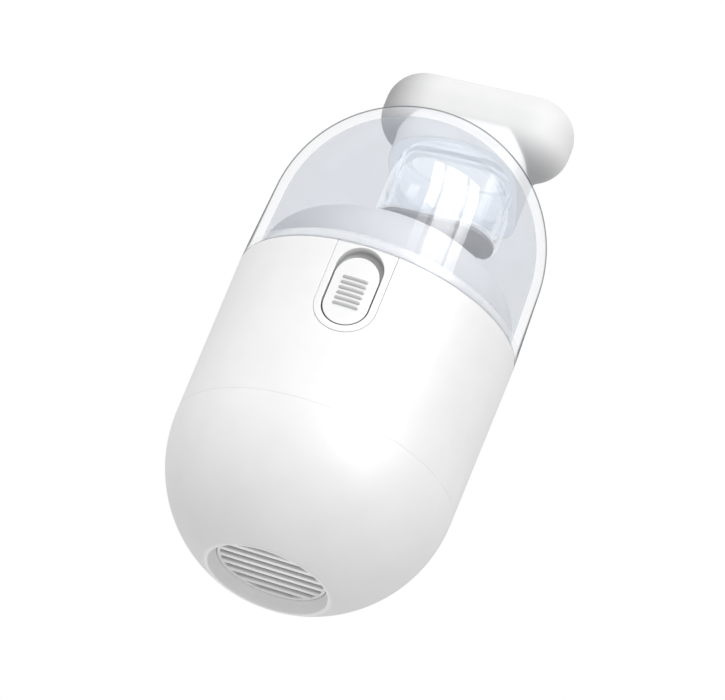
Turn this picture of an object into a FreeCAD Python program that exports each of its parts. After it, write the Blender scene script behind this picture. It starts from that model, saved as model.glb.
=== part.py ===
"""Desktop mini vacuum cleaner: a capsule that stands on its air outlet, nozzle up.

Frame: +Z up along the capsule's axis, origin at the centre of the outlet rim it stands on.
The slide switch faces -Y. The dust cup, its inlet tube, the flap and the nozzle are drawn in
the cup's own frame, with the nozzle's long side along X and its mouth set back towards +Y,
and then turned together about Z, because the round cup pushes on at any angle.
"""
import FreeCAD, Part
import math
import os

V = FreeCAD.Vector
UP = V(0, 0, 1)
ORIGIN = V(0, 0, 0)

# Capsule
body_radius = 31.0
shell_wall = 2.0
rim_radius = 14.15          # outer edge of the ring that the vacuum stands on
rim_land = 0.8              # width of its flat
seam_rise = 3.5             # of the seam between housing and clear cup above the motor's foot
seam_gap = 0.15             # shadow gap at both seams
slip = 0.15                 # play of a piece pushed into its seat
play = 0.3                  # play between pieces that move past each other
overrun = 1.0               # of a cutting shape past the face that it cuts

# Clear dust cup
dome_inset = 0.9            # of the dome's radius from the capsule's
cup_skirt = 17.3            # from the seam up to the dome's centre
cup_wall = 2.2
cup_turn = -8.5             # degrees about Z, from the switch side

# Inlet tube and nozzle: length over the ends and width of their sections
tube_length = 28.2
tube_width = 16.3
tube_wall = 1.7
tube_inset = 17.3           # of the tube's axis from the dome's side
tube_drop = 16.8            # from the top of the tube's lip down to the tube's lower end
lip_wall = 0.9              # of the tube's lip that stands out of the dome into the neck
lip_drop = 1.0              # of the lip's top below the dome's
neck_length = 29.2
neck_width = 17.6
neck_corner = 6.5
plug_depth = 2.4
plug_wall = 1.6
head_length = 42.5
head_width = 18.4
head_gap = 0.7              # between the tube's lip and the head's underside
head_height = 17.6
head_round = 7.8            # rounding of the head's lower and upper edge
mouth_length = 31.0
mouth_depth = 11.0
brush_depth = 6.0
brush_recess = 1.2          # of the bristles' tips below the head's top
brush_thickness = 0.9
brush_length = 20.0
gasket_thickness = 0.6
gasket_height = 1.2

# Inlet flap
flap_thickness = 1.0
flap_margin = 1.0           # how far it laps over the tube's wall
pin_radius = 0.8
pin_length = 15.0
hinge_wall = 0.8            # round the pin, in the flap's barrel and the ears
ear_width = 1.6
ear_rise = 2.5              # of the ears up the tube's back wall
running = 0.05              # radial play of a shaft or pin that turns

# Air outlet
grille_radius = 12.2
grille_plane = 2.6          # height of the recessed grille's face
grille_thickness = 1.6
grille_flange = 1.3
flange_thickness = 1.0
slot_zone = 10.8
slot_count = 8
slot_pitch = 2.9
slot_width = 1.5
foam_thickness = 1.8
foam_gap = 0.6              # between the foam and the contact disc

# Twist-off lower cover
collar_wall = 1.5
collar_height = 6.0
lug_count = 3
lug_height = 1.6
lug_rise = 2.6              # of the lug's underside above the seam
lug_span = 8.0              # degrees
lug_margin = 1.2            # degrees of free run beyond each side of a lug
twist_range = 20.0          # degrees
seat_wall = 1.4             # of the ring that carries the contact disc
window_width = 5.0          # of the air windows in that ring
window_step = 45            # degrees between the windows

# Cells and their holder
cell_radius = 7.25
cell_length = 50.5
cell_spacing = 16.2
nub_radius = 2.7
nub_height = 1.2
holder_wall = 1.1
holder_length = 35.2
holder_top_plate = 1.3
holder_rib = 1.6
rib_gap = 4.4               # between the cover's collar and the holder's ribs
contact_height = 1.1
contact_strip = 0.4
contact_length = 8.0
contact_width = 5.0
dimple_length = 4.8
dimple_flat = 1.6
disc_thickness = 0.6
disc_margin = 0.4
disc_hole = 2.4
disc_hole_circle = 12.4
disc_hole_step = 30         # degrees between neighbouring holes
contact_play = 0.1

# Motor, fan and shroud
motor_radius = 12.2
motor_height = 12.3
motor_cap = 1.8
motor_nose_radius = 3.4
motor_nose = 0.4
tab_width = 2.0
tab_thickness = 0.6
shaft_radius = 1.0
shaft_stub = 0.4            # of the shaft below the motor
fan_radius = 16.8
fan_plate = 1.0
fan_height = 3.6
fan_tip = 2.0               # height of the blades at the fan's edge
fan_taper = 12.0            # radius from which the blades get lower
fan_hub = 3.2
blade_count = 9
blade_thickness = 0.8
blade_root = 0.4            # of a blade's root inside the hub
blade_sweep = 42.0          # degrees between a blade's root and its tip
blade_bow = 0.42            # share of the sweep that is reached half way out
shroud_radius = 20.0
shroud_wall = 1.2
shroud_cone = (4.5, 4.0)    # width and height of its sloped shoulder
shroud_inlet = 8.0
fan_clearance = 0.5

# Deck with the spigot that carries the cup
spigot_height = 3.9
spigot_wall = 2.0
deck_plate = 2.0
deck_flange = 4.6
ledge_width = 1.6
ledge_height = 1.5
motor_seat_wall = 1.8
motor_seat_lip = 0.6
vent_count = 6
vent_span = 42.0            # degrees
vent_width = 3.2
seal_radius = 0.75          # half the width of the seal's section
seal_chamfer = 0.4
seal_squeeze = 0.1

# Filter
filter_height = 15.9
filter_edge = 10.5          # radius of the dome's rounded edge, in section
filter_wall = 1.2
filter_ring_wall = 1.4
filter_ring_height = 2.3

# Switch
panel_width = 13.6
panel_length = 20.9         # from the seam down
panel_depth = 4.6           # from the housing's surface to the panel's back
pocket_margin = 1.6         # of the panel round the button's pocket
pocket_depth = 2.8
button_length = 16.4
button_travel = 2.0
button_sink = 0.7           # of the button's face below the housing's surface
grip_count = 6
grip_pitch = 1.28
grip_length = 5.3
grip_height = 0.45
stem_width = 2.6
stem_length = 3.4
switch_size = (9.0, 3.6, 10.0)
actuator_size = (2.4, 1.4, 3.0)
board_size = (13.0, 1.2, 20.0)
actuator_gap = 0.3

# Heights and radii that follow from the sizes above, from the outlet up to the nozzle
seam_low = math.sqrt(body_radius**2 - rim_radius**2)
inner_radius = body_radius - shell_wall
foam_top = grille_plane + grille_thickness + flange_thickness + foam_thickness
cell_low = foam_top + foam_gap + disc_thickness + contact_play
disc_radius = cell_spacing / 2 + cell_radius + disc_margin
holder_top = cell_low + cell_length + contact_height + holder_top_plate
holder_low = holder_top - holder_length
motor_low = holder_top + motor_seat_lip + play
motor_top = motor_low + motor_height
fan_low = motor_top + motor_nose + play
cup_seam = motor_low + seam_rise
deck_floor = cup_seam - deck_flange
spigot_top = cup_seam + spigot_height
plate_low = spigot_top - deck_plate
panel_low = cup_seam - panel_length
button_low = panel_low + pocket_margin + slip
button_width = panel_width - 2 * pocket_margin - 2 * play
button_face = body_radius - button_sink
pocket_floor = body_radius - pocket_depth
dome_radius = body_radius - dome_inset
dome_centre = cup_seam + cup_skirt
tube_setback = dome_radius - tube_inset
lip_top = dome_centre + dome_radius - lip_drop
tube_low = lip_top - tube_drop
flap_top = tube_low - slip
head_low = lip_top + head_gap


def cylinder(radius, low, high):
    """Upright cylinder between two heights."""
    return Part.makeCylinder(radius, high - low, V(0, 0, low))


def ring(inner, outer, low, high):
    """Upright tube between two heights."""
    return cylinder(outer, low, high).cut(cylinder(inner, low - overrun, high + overrun))


def block(x, y, z):
    """Box from three (low, high) pairs."""
    return Part.makeBox(x[1] - x[0], y[1] - y[0], z[1] - z[0], V(x[0], y[0], z[0]))


def sector(inner, outer, low, high, start, end):
    """Part of an upright tube between two angles in degrees, counted from +X."""
    outside = Part.makeCylinder(outer, high - low, V(0, 0, low), UP, end - start)
    piece = outside.cut(cylinder(inner, low - overrun, high + overrun))
    piece.rotate(ORIGIN, UP, start)
    return piece


def turned_profile(*steps):
    """Solid of revolution about Z. A step is a point (radius, height), or an arc given as
    a pair of points, its middle and its end."""
    start = V(steps[0][0], 0, steps[0][1])
    here = start
    edges = []
    for step in steps[1:]:
        if isinstance(step[0], tuple):
            middle, end = (V(p[0], 0, p[1]) for p in step)
            edges.append(Part.Arc(here, middle, end).toShape())
        else:
            end = V(step[0], 0, step[1])
            edges.append(Part.LineSegment(here, end).toShape())
        here = end
    if here.distanceToPoint(start) > 1e-6:
        edges.append(Part.LineSegment(here, start).toShape())
    face = Part.Face(Part.Wire(edges))
    return face.revolve(ORIGIN, UP, 360)


def on_circle(radius, centre, degrees):
    """Point of a profile on a circle about (0, centre), at an angle above the horizontal."""
    angle = math.radians(degrees)
    return (radius * math.cos(angle), centre + radius * math.sin(angle))


def slope_to(radius, centre, point):
    """Angle above the horizontal at which a line from point touches the circle."""
    across, below = point[0], centre - point[1]
    reach = math.hypot(across, below)
    return math.degrees(math.acos(radius / reach) - math.atan2(below, across))


def stadium(length, width, low, high):
    """Upright prism with straight sides along X and round ends, on the tube's axis."""
    radius = width / 2
    half = length / 2 - radius
    near, far = tube_setback - radius, tube_setback + radius
    corners = [V(-half, near, low), V(half, near, low), V(half, far, low), V(-half, far, low)]
    edges = [
        Part.LineSegment(corners[0], corners[1]).toShape(),
        Part.Arc(corners[1], V(half + radius, tube_setback, low), corners[2]).toShape(),
        Part.LineSegment(corners[2], corners[3]).toShape(),
        Part.Arc(corners[3], V(-half - radius, tube_setback, low), corners[0]).toShape(),
    ]
    return Part.Face(Part.Wire(edges)).extrude(V(0, 0, high - low))


def rounded_bar(length, width, corner, low, high):
    """Upright rectangular prism with rounded upright edges, on the tube's axis."""
    bar = block((-length / 2, length / 2), (tube_setback - width / 2, tube_setback + width / 2),
                (low, high))
    upright = [e for e in bar.Edges if e.BoundBox.ZLength > (high - low) / 2]
    return bar.makeFillet(corner, upright)


def dome_ball(radius):
    """Sphere about the dome's centre."""
    return Part.makeSphere(radius, V(0, 0, dome_centre))


def front_slot(width, low, high, depth, open_top=False):
    """Prism along Y, from beyond the front to a depth from the axis: a slot with a round
    lower end, and a round or open upper end."""
    radius = width / 2
    front = -body_radius - overrun
    top = high if open_top else high - radius
    left_low, right_low = V(-radius, front, low + radius), V(radius, front, low + radius)
    left_top, right_top = V(-radius, front, top), V(radius, front, top)
    if open_top:
        cap = Part.LineSegment(right_top, left_top).toShape()
    else:
        cap = Part.Arc(right_top, V(0, front, high), left_top).toShape()
    edges = [
        Part.LineSegment(left_top, left_low).toShape(),
        Part.Arc(left_low, V(0, front, low), right_low).toShape(),
        Part.LineSegment(right_low, right_top).toShape(),
        cap,
    ]
    return Part.Face(Part.Wire(edges)).extrude(V(0, -depth - front, 0))


def lug_angles():
    """Middles of the bayonet lugs, the first at the back."""
    return [90 + 360 * i / lug_count for i in range(lug_count)]


# Housing

def upper_housing():
    """Cylindrical shell with a ledge for the deck, a front opening for the switch panel and
    bayonet lugs inside its lower edge."""
    low = seam_low + seam_gap
    high = cup_seam - seam_gap
    shell = ring(inner_radius, body_radius, low, high)
    ledge = ring(inner_radius - ledge_width, inner_radius + slip, deck_floor - ledge_height, deck_floor)
    shell = shell.fuse(ledge)
    lug_low = seam_low + lug_rise
    for angle in lug_angles():
        lug = sector(inner_radius - play - collar_wall + slip, inner_radius + slip, lug_low,
                     lug_low + lug_height, angle - lug_span / 2, angle + lug_span / 2)
        shell = shell.fuse(lug)
    opening = front_slot(panel_width, panel_low, high + overrun, inner_radius - panel_depth, True)
    return shell.cut(opening)


def switch_panel():
    """Inset that fills the front opening flush with the shell. A pocket holds the button,
    and a slot in the pocket's floor lets its stem through."""
    high = cup_seam - seam_gap
    back = body_radius - panel_depth
    panel = front_slot(panel_width - 2 * slip, panel_low + slip, high, back, True)
    panel = panel.common(cylinder(body_radius, panel_low, high))
    pocket_width = button_width + 2 * play
    pocket_high = button_low + button_length + button_travel + slip
    pocket = front_slot(pocket_width, button_low - slip, pocket_high, pocket_floor)
    middle = button_low + button_length / 2
    stem_slot = block((-stem_width / 2 - play, stem_width / 2 + play), (-body_radius, -back + overrun),
                      (middle - stem_length / 2 - play,
                       middle + stem_length / 2 + button_travel + play))
    return panel.cut(pocket).cut(stem_slot)


def spigot_deck():
    """Moulded deck: a flange on the housing's ledge, the spigot that the cup pushes onto,
    the plate with the exhaust vents and the seat that holds the motor."""
    spigot_radius = cup_inner_radius(spigot_top) - play
    seat_outer = motor_radius + slip + motor_seat_wall
    deck = turned_profile(
        (inner_radius - slip, deck_floor),
        (inner_radius - slip, cup_seam - seam_gap),
        (spigot_radius, cup_seam - seam_gap),
        (spigot_radius, spigot_top),
        (motor_radius + slip, spigot_top),
        (motor_radius + slip, motor_low),
        (motor_radius - motor_seat_wall, motor_low),
        (motor_radius - motor_seat_wall, motor_low - motor_seat_lip),
        (seat_outer, motor_low - motor_seat_lip),
        (seat_outer, plate_low),
        (spigot_radius - spigot_wall, plate_low),
        (spigot_radius - spigot_wall, deck_floor),
    )
    groove = ring(seal_middle() - seal_radius, body_radius, seal_height() - seal_radius - running,
                  seal_height() + seal_radius + running)
    deck = deck.cut(groove)
    vent_inner = seat_outer + deck_plate / 2
    for i in range(vent_count):
        start = 360 * i / vent_count
        deck = deck.cut(sector(vent_inner, vent_inner + vent_width, plate_low - overrun,
                               spigot_top + overrun, start, start + vent_span))
    notch = front_slot(panel_width + 2 * slip, panel_low, cup_seam - seam_gap,
                       body_radius - panel_depth - play, True)
    return deck.cut(notch)


def seal_middle():
    """Radius of the seal's middle line, so that it just meets the cup's inside."""
    return cup_inner_radius(seal_height()) - seal_squeeze - seal_radius


def seal_height():
    return spigot_top - deck_plate - seal_radius + slip


def cup_seal():
    """Rubber seal of square section with broken corners, in the spigot's groove."""
    middle, height = seal_middle(), seal_height()
    side, flat = seal_radius, seal_radius - seal_chamfer
    corners = ((flat, -side), (side, -flat), (side, flat), (flat, side),
               (-flat, side), (-side, flat), (-side, -flat), (-flat, -side))
    return turned_profile(*((middle + across, height + up) for across, up in corners))


# Filter

def crown_centre():
    """Height of the centre of the filter dome's crown above its foot. The crown's arc meets
    the edge's arc without a kink."""
    inset = filter_radius() - filter_edge
    crown = (inset**2 + filter_height**2 - filter_edge**2) / (2 * (filter_height - filter_edge))
    return filter_height - crown


def filter_radius():
    return cup_inner_radius(spigot_top) - play


def filter_dome():
    """Domed filter cloth over the fan: a rounded edge under a flatter crown, of even wall."""
    inset = filter_radius() - filter_edge
    foot = spigot_top
    centre = foot + crown_centre()
    turn = math.degrees(math.atan2(-crown_centre(), inset))
    outside = filter_height - crown_centre()

    def edge_point(radius, degrees):
        angle = math.radians(degrees)
        return (inset + radius * math.cos(angle), foot + radius * math.sin(angle))

    inner_edge = filter_edge - filter_wall
    inner_crown = outside - filter_wall
    middle = (turn + 90) / 2
    return turned_profile(
        (filter_radius(), foot),
        (edge_point(filter_edge, turn / 2), edge_point(filter_edge, turn)),
        (on_circle(outside, centre, middle), (0, centre + outside)),
        (0, centre + inner_crown),
        (on_circle(inner_crown, centre, middle), edge_point(inner_edge, turn)),
        (edge_point(inner_edge, turn / 2), (inset + inner_edge, foot)),
    )


def filter_ring():
    """Stiff ring that holds the filter's edge on the spigot."""
    outer = filter_radius() - filter_wall - slip
    lean = (filter_ring_height**2) / (2 * (filter_edge - filter_wall))
    return turned_profile(
        (outer - filter_ring_wall, spigot_top),
        (outer, spigot_top),
        (outer - lean - slip, spigot_top + filter_ring_height),
        (outer - filter_ring_wall, spigot_top + filter_ring_height),
    )


# Motor and fan

def motor_can():
    """Pressed steel can of the flat motor, bored for its shaft."""
    can = cylinder(motor_radius, motor_low + motor_cap, motor_top)
    can = can.fuse(cylinder(motor_nose_radius, motor_top, motor_top + motor_nose))
    return can.cut(cylinder(shaft_radius + running, motor_low, fan_low))


def motor_end_cap():
    """Moulded end of the motor with two terminal tabs."""
    cap = cylinder(motor_radius, motor_low, motor_low + motor_cap)
    for side in (-1, 1):
        x = side * motor_radius / 2
        tab = block((x - tab_width / 2, x + tab_width / 2), (-tab_thickness / 2, tab_thickness / 2),
                    (motor_low - motor_seat_lip, motor_low))
        cap = cap.fuse(tab)
    return cap.cut(cylinder(shaft_radius + running, motor_low - overrun, motor_top))


def motor_shaft():
    return cylinder(shaft_radius, motor_low - shaft_stub, fan_low + fan_height)


def blade(angle):
    """One swept blade: two arcs from the hub to the rim, a blade's thickness apart."""
    root = fan_hub - blade_root
    tip = fan_radius - running
    points = []
    for radius, share in ((root, 0.0), ((root + tip) / 2, blade_bow), (tip, 1.0)):
        turn = math.radians(angle + blade_sweep * share)
        points.append((radius, turn))
    sides = []
    for offset in (-blade_thickness / 2, blade_thickness / 2):
        side = []
        for radius, turn in points:
            along = V(math.cos(turn), math.sin(turn), 0) * radius
            across = V(-math.sin(turn), math.cos(turn), 0) * offset
            side.append(along + across + V(0, 0, fan_low))
        sides.append(side)
    first, second = sides
    edges = [
        Part.Arc(*first).toShape(),
        Part.LineSegment(first[2], second[2]).toShape(),
        Part.Arc(second[2], second[1], second[0]).toShape(),
        Part.LineSegment(second[0], first[0]).toShape(),
    ]
    return Part.Face(Part.Wire(edges)).extrude(V(0, 0, fan_height))


def impeller():
    """Centrifugal fan: a back plate, a hub pressed on the shaft and swept blades that get
    lower towards the edge, under the slope of the shroud."""
    fan = cylinder(fan_radius, fan_low, fan_low + fan_plate)
    fan = fan.fuse(cylinder(fan_hub, fan_low, fan_low + fan_height))
    for i in range(blade_count):
        fan = fan.fuse(blade(360 * i / blade_count))
    swept_space = turned_profile(
        (0, fan_low),
        (fan_radius, fan_low),
        (fan_radius, fan_low + fan_tip),
        (fan_taper, fan_low + fan_height),
        (0, fan_low + fan_height),
    )
    bore = cylinder(shaft_radius, fan_low - overrun, fan_low + fan_height + overrun)
    return fan.common(swept_space).cut(bore)


def fan_shroud():
    """Cover round the fan, open at the middle of its top, sloped inside the filter dome."""
    top = fan_low + fan_height + fan_clearance + shroud_wall
    slope = shroud_radius - shroud_cone[0]
    shoulder = top - shroud_cone[1]
    return turned_profile(
        (shroud_radius - shroud_wall, spigot_top),
        (shroud_radius, spigot_top),
        (shroud_radius, shoulder),
        (slope, top),
        (shroud_inlet, top),
        (shroud_inlet, top - shroud_wall),
        (slope - shroud_wall / 2, top - shroud_wall),
        (shroud_radius - shroud_wall, shoulder - shroud_wall / 2),
    )


# Cells and contacts

def cell(side):
    """One penlight cell. The left one stands with its nub up, the right one upside down."""
    x = side * cell_spacing / 2
    nub_up = side < 0
    body_low = cell_low if nub_up else cell_low + nub_height
    body = cylinder(cell_radius, body_low, body_low + cell_length - nub_height)
    nub_low = body_low + cell_length - nub_height if nub_up else cell_low
    body = body.fuse(cylinder(nub_radius, nub_low, nub_low + nub_height))
    body.translate(V(x, 0, 0))
    return body


def battery_holder():
    """Twin tubes, closed above by the contact plate, with ribs out to the housing and two
    arms that carry the circuit board."""
    plate_bottom = holder_top - holder_top_plate
    bore = cell_radius + play
    radius = bore + holder_wall
    half = cell_spacing / 2
    holder = block((-half, half), (-radius, radius), (plate_bottom, holder_top))
    for side in (-1, 1):
        tube = cylinder(radius, holder_low, holder_top)
        tube.translate(V(side * half, 0, 0))
        holder = holder.fuse(tube)
    reach = inner_radius - slip
    rib_low = seam_low + collar_height + rib_gap
    rib_high = deck_floor - ledge_height - slip
    side_ribs = block((-reach, reach), (-holder_rib / 2, holder_rib / 2), (rib_low, rib_high))
    back_rib = block((-holder_rib / 2, holder_rib / 2), (0, reach), (rib_low, rib_high))
    holder = holder.fuse(side_ribs.fuse(back_rib).common(cylinder(reach, rib_low, rib_high)))
    board_back = board_front() + board_size[1]
    middle = button_low + button_length / 2
    for offset in (-board_size[2] / 4, board_size[2] / 4):
        low = middle + offset - holder_rib / 2
        arm = block((-board_size[0] / 2, board_size[0] / 2), (board_back, 0), (low, low + holder_rib))
        holder = holder.fuse(arm)
    for side in (-1, 1):
        hole = cylinder(bore, holder_low - overrun, plate_bottom)
        hole.translate(V(side * half, 0, 0))
        holder = holder.cut(hole)
    return holder


def cell_contacts():
    """Two sprung strips under the holder's plate, one for each cell."""
    dip = cell_low + cell_length
    high = dip + contact_height
    under = high - contact_strip
    half = contact_length / 2
    dimple = dimple_length / 2
    flat = dimple_flat / 2
    outline = [(-half, high), (-dimple, high), (-flat, dip + contact_strip), (flat, dip + contact_strip),
               (dimple, high), (half, high), (half, under), (dimple, under), (flat, dip),
               (-flat, dip), (-dimple, under), (-half, under), (-half, high)]
    contacts = []
    for side in (-1, 1):
        x = side * cell_spacing / 2
        section = Part.makePolygon([V(x + u, -contact_width / 2, z) for u, z in outline])
        contacts.append(Part.Face(section).extrude(V(0, contact_width, 0)))
    return Part.makeCompound(contacts)


def contact_disc():
    """Sheet-metal bridge across the two cells, on the twist-off cover, with air holes."""
    high = cell_low - contact_play
    disc = cylinder(disc_radius, high - disc_thickness, high)
    for middle in (90, 270):
        for step in (-1, 0, 1):
            angle = math.radians(middle + step * disc_hole_step)
            hole = cylinder(disc_hole, high - disc_thickness - overrun, high + overrun)
            hole.translate(V(math.cos(angle), math.sin(angle), 0) * disc_hole_circle)
            disc = disc.cut(hole)
    return disc


# Switch

def board_front():
    """Y of the circuit board's front face, behind the switch body."""
    return actuator_front() + actuator_size[1] + slip + switch_size[1]


def actuator_front():
    """Y of the front of the switch's actuator, where the button's stem meets it."""
    return -body_radius + panel_depth + actuator_gap


def slide_button():
    """Curved slider with raised grip ribs and a stem through the panel's slot."""
    high = button_low + button_length
    cap = front_slot(button_width, button_low, high, pocket_floor + play)
    ribs = []
    middle = button_low + button_length / 2
    for i in range(grip_count):
        z = middle + grip_pitch * (i - (grip_count - 1) / 2)
        bar = block((-grip_length / 2, grip_length / 2), (-body_radius, -pocket_floor - play),
                    (z - grip_pitch / 4, z + grip_pitch / 4))
        ribs.append(bar.common(cylinder(button_face + grip_height, button_low, high)))
    cap = cap.common(cylinder(button_face, button_low, high))
    for bar in ribs:
        cap = cap.fuse(bar)
    stem = block((-stem_width / 2, stem_width / 2),
                 (-pocket_floor - overrun, actuator_front()),
                 (middle - stem_length / 2, middle + stem_length / 2))
    return cap.fuse(stem)


def switch_actuator():
    """Small lever block of the slide switch, moved by the button's stem."""
    middle = button_low + button_length / 2
    width, depth, height = actuator_size
    return block((-width / 2, width / 2), (actuator_front(), actuator_front() + depth),
                 (middle - height / 2, middle + height / 2))


def switch_body():
    """Body of the slide switch on the circuit board."""
    middle = button_low + button_length / 2
    back = board_front()
    return block((-switch_size[0] / 2, switch_size[0] / 2), (back - switch_size[1], back),
                 (middle - switch_size[2] / 2, middle + switch_size[2] / 2))


def circuit_board():
    middle = button_low + button_length / 2
    front = board_front()
    return block((-board_size[0] / 2, board_size[0] / 2), (front, front + board_size[1]),
                 (middle - board_size[2] / 2, middle + board_size[2] / 2))


# Twist-off lower cover

def lower_cover():
    """Hemispherical bowl with a sloped outlet recess, a seat for the contact disc and a
    slotted collar that turns on the housing's lugs."""
    floor = grille_plane + grille_thickness
    inner_sphere = inner_radius
    collar_outer = inner_radius - play
    collar_inner = collar_outer - collar_wall
    floor_radius = math.sqrt(inner_sphere**2 - (seam_low - floor)**2)
    collar_angle = -math.degrees(math.acos(collar_inner / inner_sphere))
    floor_angle = -math.degrees(math.acos(floor_radius / inner_sphere))
    rim_angle = -math.degrees(math.acos(rim_radius / body_radius))
    bore = grille_radius + slip
    bowl = turned_profile(
        (rim_radius - rim_land, 0),
        (rim_radius, 0),
        (on_circle(body_radius, seam_low, rim_angle / 2), (body_radius, seam_low)),
        (collar_outer, seam_low),
        (collar_outer, seam_low + collar_height),
        (collar_inner, seam_low + collar_height),
        on_circle(inner_sphere, seam_low, collar_angle),
        (on_circle(inner_sphere, seam_low, (collar_angle + floor_angle) / 2), (floor_radius, floor)),
        (bore, floor),
        (bore, grille_plane),
    )
    seat = ring(disc_radius - seat_wall, disc_radius, floor - slip, foam_top + foam_gap)
    for angle in range(0, 180, window_step):
        window = block((-inner_radius, inner_radius), (-window_width / 2, window_width / 2),
                       (floor + flange_thickness, cell_low))
        window.rotate(ORIGIN, UP, angle + window_step / 2)
        seat = seat.cut(window)
    bowl = bowl.fuse(seat)
    slot_low = seam_low + lug_rise - play
    slot_high = seam_low + lug_rise + lug_height + play
    for angle in lug_angles():
        last = angle + lug_span / 2 + lug_margin
        first = angle - lug_span / 2 - twist_range - lug_margin
        inside = collar_inner - overrun
        run = sector(inside, inner_radius, slot_low, slot_high, first, last)
        entry = sector(inside, inner_radius, slot_low, seam_low + collar_height + overrun,
                       first, first + lug_span + 2 * lug_margin)
        bowl = bowl.cut(run).cut(entry)
    return bowl


def exhaust_grille():
    """Slotted outlet disc with a flange that rests on the cover's floor."""
    high = grille_plane + grille_thickness
    disc = cylinder(grille_radius, grille_plane, high)
    disc = disc.fuse(cylinder(grille_radius + grille_flange, high, high + flange_thickness))
    for i in range(slot_count):
        y = slot_pitch * (i - (slot_count - 1) / 2)
        half = math.sqrt(slot_zone**2 - y**2)
        bar = block((-half, half), (y - slot_width / 2, y + slot_width / 2),
                    (grille_plane - overrun, high + flange_thickness + overrun))
        disc = disc.cut(bar)
    return disc


def exhaust_foam():
    """Foam disc behind the grille."""
    return cylinder(disc_radius - seat_wall - slip, foam_top - foam_thickness, foam_top)


# Dust cup, in the cup's own frame

def cup_slope():
    """Draft of the cup's lower part, in degrees: the line from the seam that touches the dome."""
    return slope_to(dome_radius, dome_centre, (body_radius, cup_seam))


def cup_inner_radius(height):
    """Inner radius of the cup's sloped part."""
    angle = math.radians(cup_slope())
    return body_radius - cup_wall / math.cos(angle) - (height - cup_seam) * math.tan(angle)


def dust_cup():
    """Clear cup: a drafted wall under a dome, with the inlet tube moulded through it, a
    thickened ring round the tube and two hinge ears for the flap."""
    slope = cup_slope()
    angle = (90 + slope) / 2
    dome_inner = dome_radius - cup_wall
    shell = turned_profile(
        (body_radius, cup_seam),
        on_circle(dome_radius, dome_centre, slope),
        (on_circle(dome_radius, dome_centre, angle), (0, dome_centre + dome_radius)),
        (0, dome_centre + dome_inner),
        (on_circle(dome_inner, dome_centre, angle), on_circle(dome_inner, dome_centre, slope)),
        (cup_inner_radius(cup_seam), cup_seam),
    )
    inside = dome_ball(dome_radius - cup_wall / 2)
    tube = stadium(tube_length, tube_width, tube_low, lip_top).common(inside)
    lip = 2 * (tube_wall - lip_wall)
    shell = shell.fuse(tube).fuse(stadium(tube_length - lip, tube_width - lip, tube_low, lip_top))
    y, z = hinge_line()
    eye = pin_radius + hinge_wall
    for side in (-1, 1):
        x = side * (pin_length - ear_width) / 2
        ear = block((x - ear_width / 2, x + ear_width / 2), (y - eye, y + eye), (z, tube_low + ear_rise))
        knuckle = Part.makeCylinder(eye, ear_width, V(x - ear_width / 2, y, z), V(1, 0, 0))
        shell = shell.fuse(ear).fuse(knuckle)
    bore = stadium(*tube_bore(), tube_low - overrun, lip_top + overrun)
    pin_hole = Part.makeCylinder(pin_radius, pin_length, V(-pin_length / 2, y, z), V(1, 0, 0))
    return shell.cut(bore).cut(pin_hole)


def tube_bore():
    """Length and width of the tube's bore."""
    return tube_length - 2 * tube_wall, tube_width - 2 * tube_wall


def hinge_line():
    """Y and Z of the flap's pin, under the tube's back wall."""
    return tube_setback + tube_width / 2 - pin_radius / 2, tube_low - pin_radius - hinge_wall - slip


def flap_pin():
    y, z = hinge_line()
    return Part.makeCylinder(pin_radius, pin_length, V(-pin_length / 2, y, z), V(1, 0, 0))


def inlet_flap():
    """Rubber flap that closes the tube's lower end, with a barrel on the pin."""
    lap = 2 * (tube_wall - flap_margin)
    leaf = stadium(tube_length - lap, tube_width - lap, flap_top - flap_thickness, flap_top)
    y, z = hinge_line()
    half = pin_length / 2 - ear_width - play
    eye = pin_radius + hinge_wall
    barrel = Part.makeCylinder(eye - running, 2 * half, V(-half, y, z), V(1, 0, 0))
    web = block((-half, half), (y - 2 * eye, y), (flap_top - flap_thickness, flap_top))
    ears = pin_length / 2 + play
    relief = block((-ears, ears), (y - eye - play, y + tube_width), (z - eye, flap_top + overrun))
    hole = Part.makeCylinder(pin_radius + running, 4 * half, V(-2 * half, y, z), V(1, 0, 0))
    return leaf.cut(relief).fuse(barrel).fuse(web).cut(hole)


# Nozzle, in the cup's own frame

def plug_size():
    """Length and width of the nozzle's plug, a slip fit in the tube."""
    length, width = tube_bore()
    return length - 2 * slip, width - 2 * slip


def nozzle_body():
    """Wide rounded head on a neck whose foot follows the dome. The neck's foot is grooved for
    the tube's lip, a plug enters the tube, and one open duct runs from the mouth down."""
    top = head_low + head_height
    head = stadium(head_length, head_width, head_low, top)
    rims = [e for e in head.Edges if e.BoundBox.ZLength < 1e-6]
    head = head.makeFillet(head_round, rims)
    neck = rounded_bar(neck_length, neck_width, neck_corner, dome_centre, head_low + head_height / 2)
    neck = neck.cut(dome_ball(dome_radius + slip))
    groove = 2 * (tube_wall - lip_wall - slip)
    neck = neck.cut(stadium(tube_length - groove, tube_width - groove, dome_centre, lip_top + slip))
    length, width = plug_size()
    plug = stadium(length, width, lip_top - plug_depth, lip_top + tube_wall)
    duct = stadium(length - 2 * plug_wall, width - 2 * plug_wall, dome_centre, top)
    mouth = stadium(mouth_length, width - 2 * plug_wall, top - mouth_depth, top + overrun)
    seat = gasket_band(length + overrun, width + overrun)
    return head.fuse(neck).fuse(plug).cut(duct).cut(mouth).cut(seat)


def gasket_band(length, width):
    """Stadium band of the gasket's height about the floor of the plug's groove."""
    inner_length, inner_width = (size - 2 * gasket_thickness for size in plug_size())
    low = lip_top - (plug_depth + gasket_height) / 2
    band = stadium(length, width, low, low + gasket_height)
    return band.cut(stadium(inner_length, inner_width, low, low + gasket_height))


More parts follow.
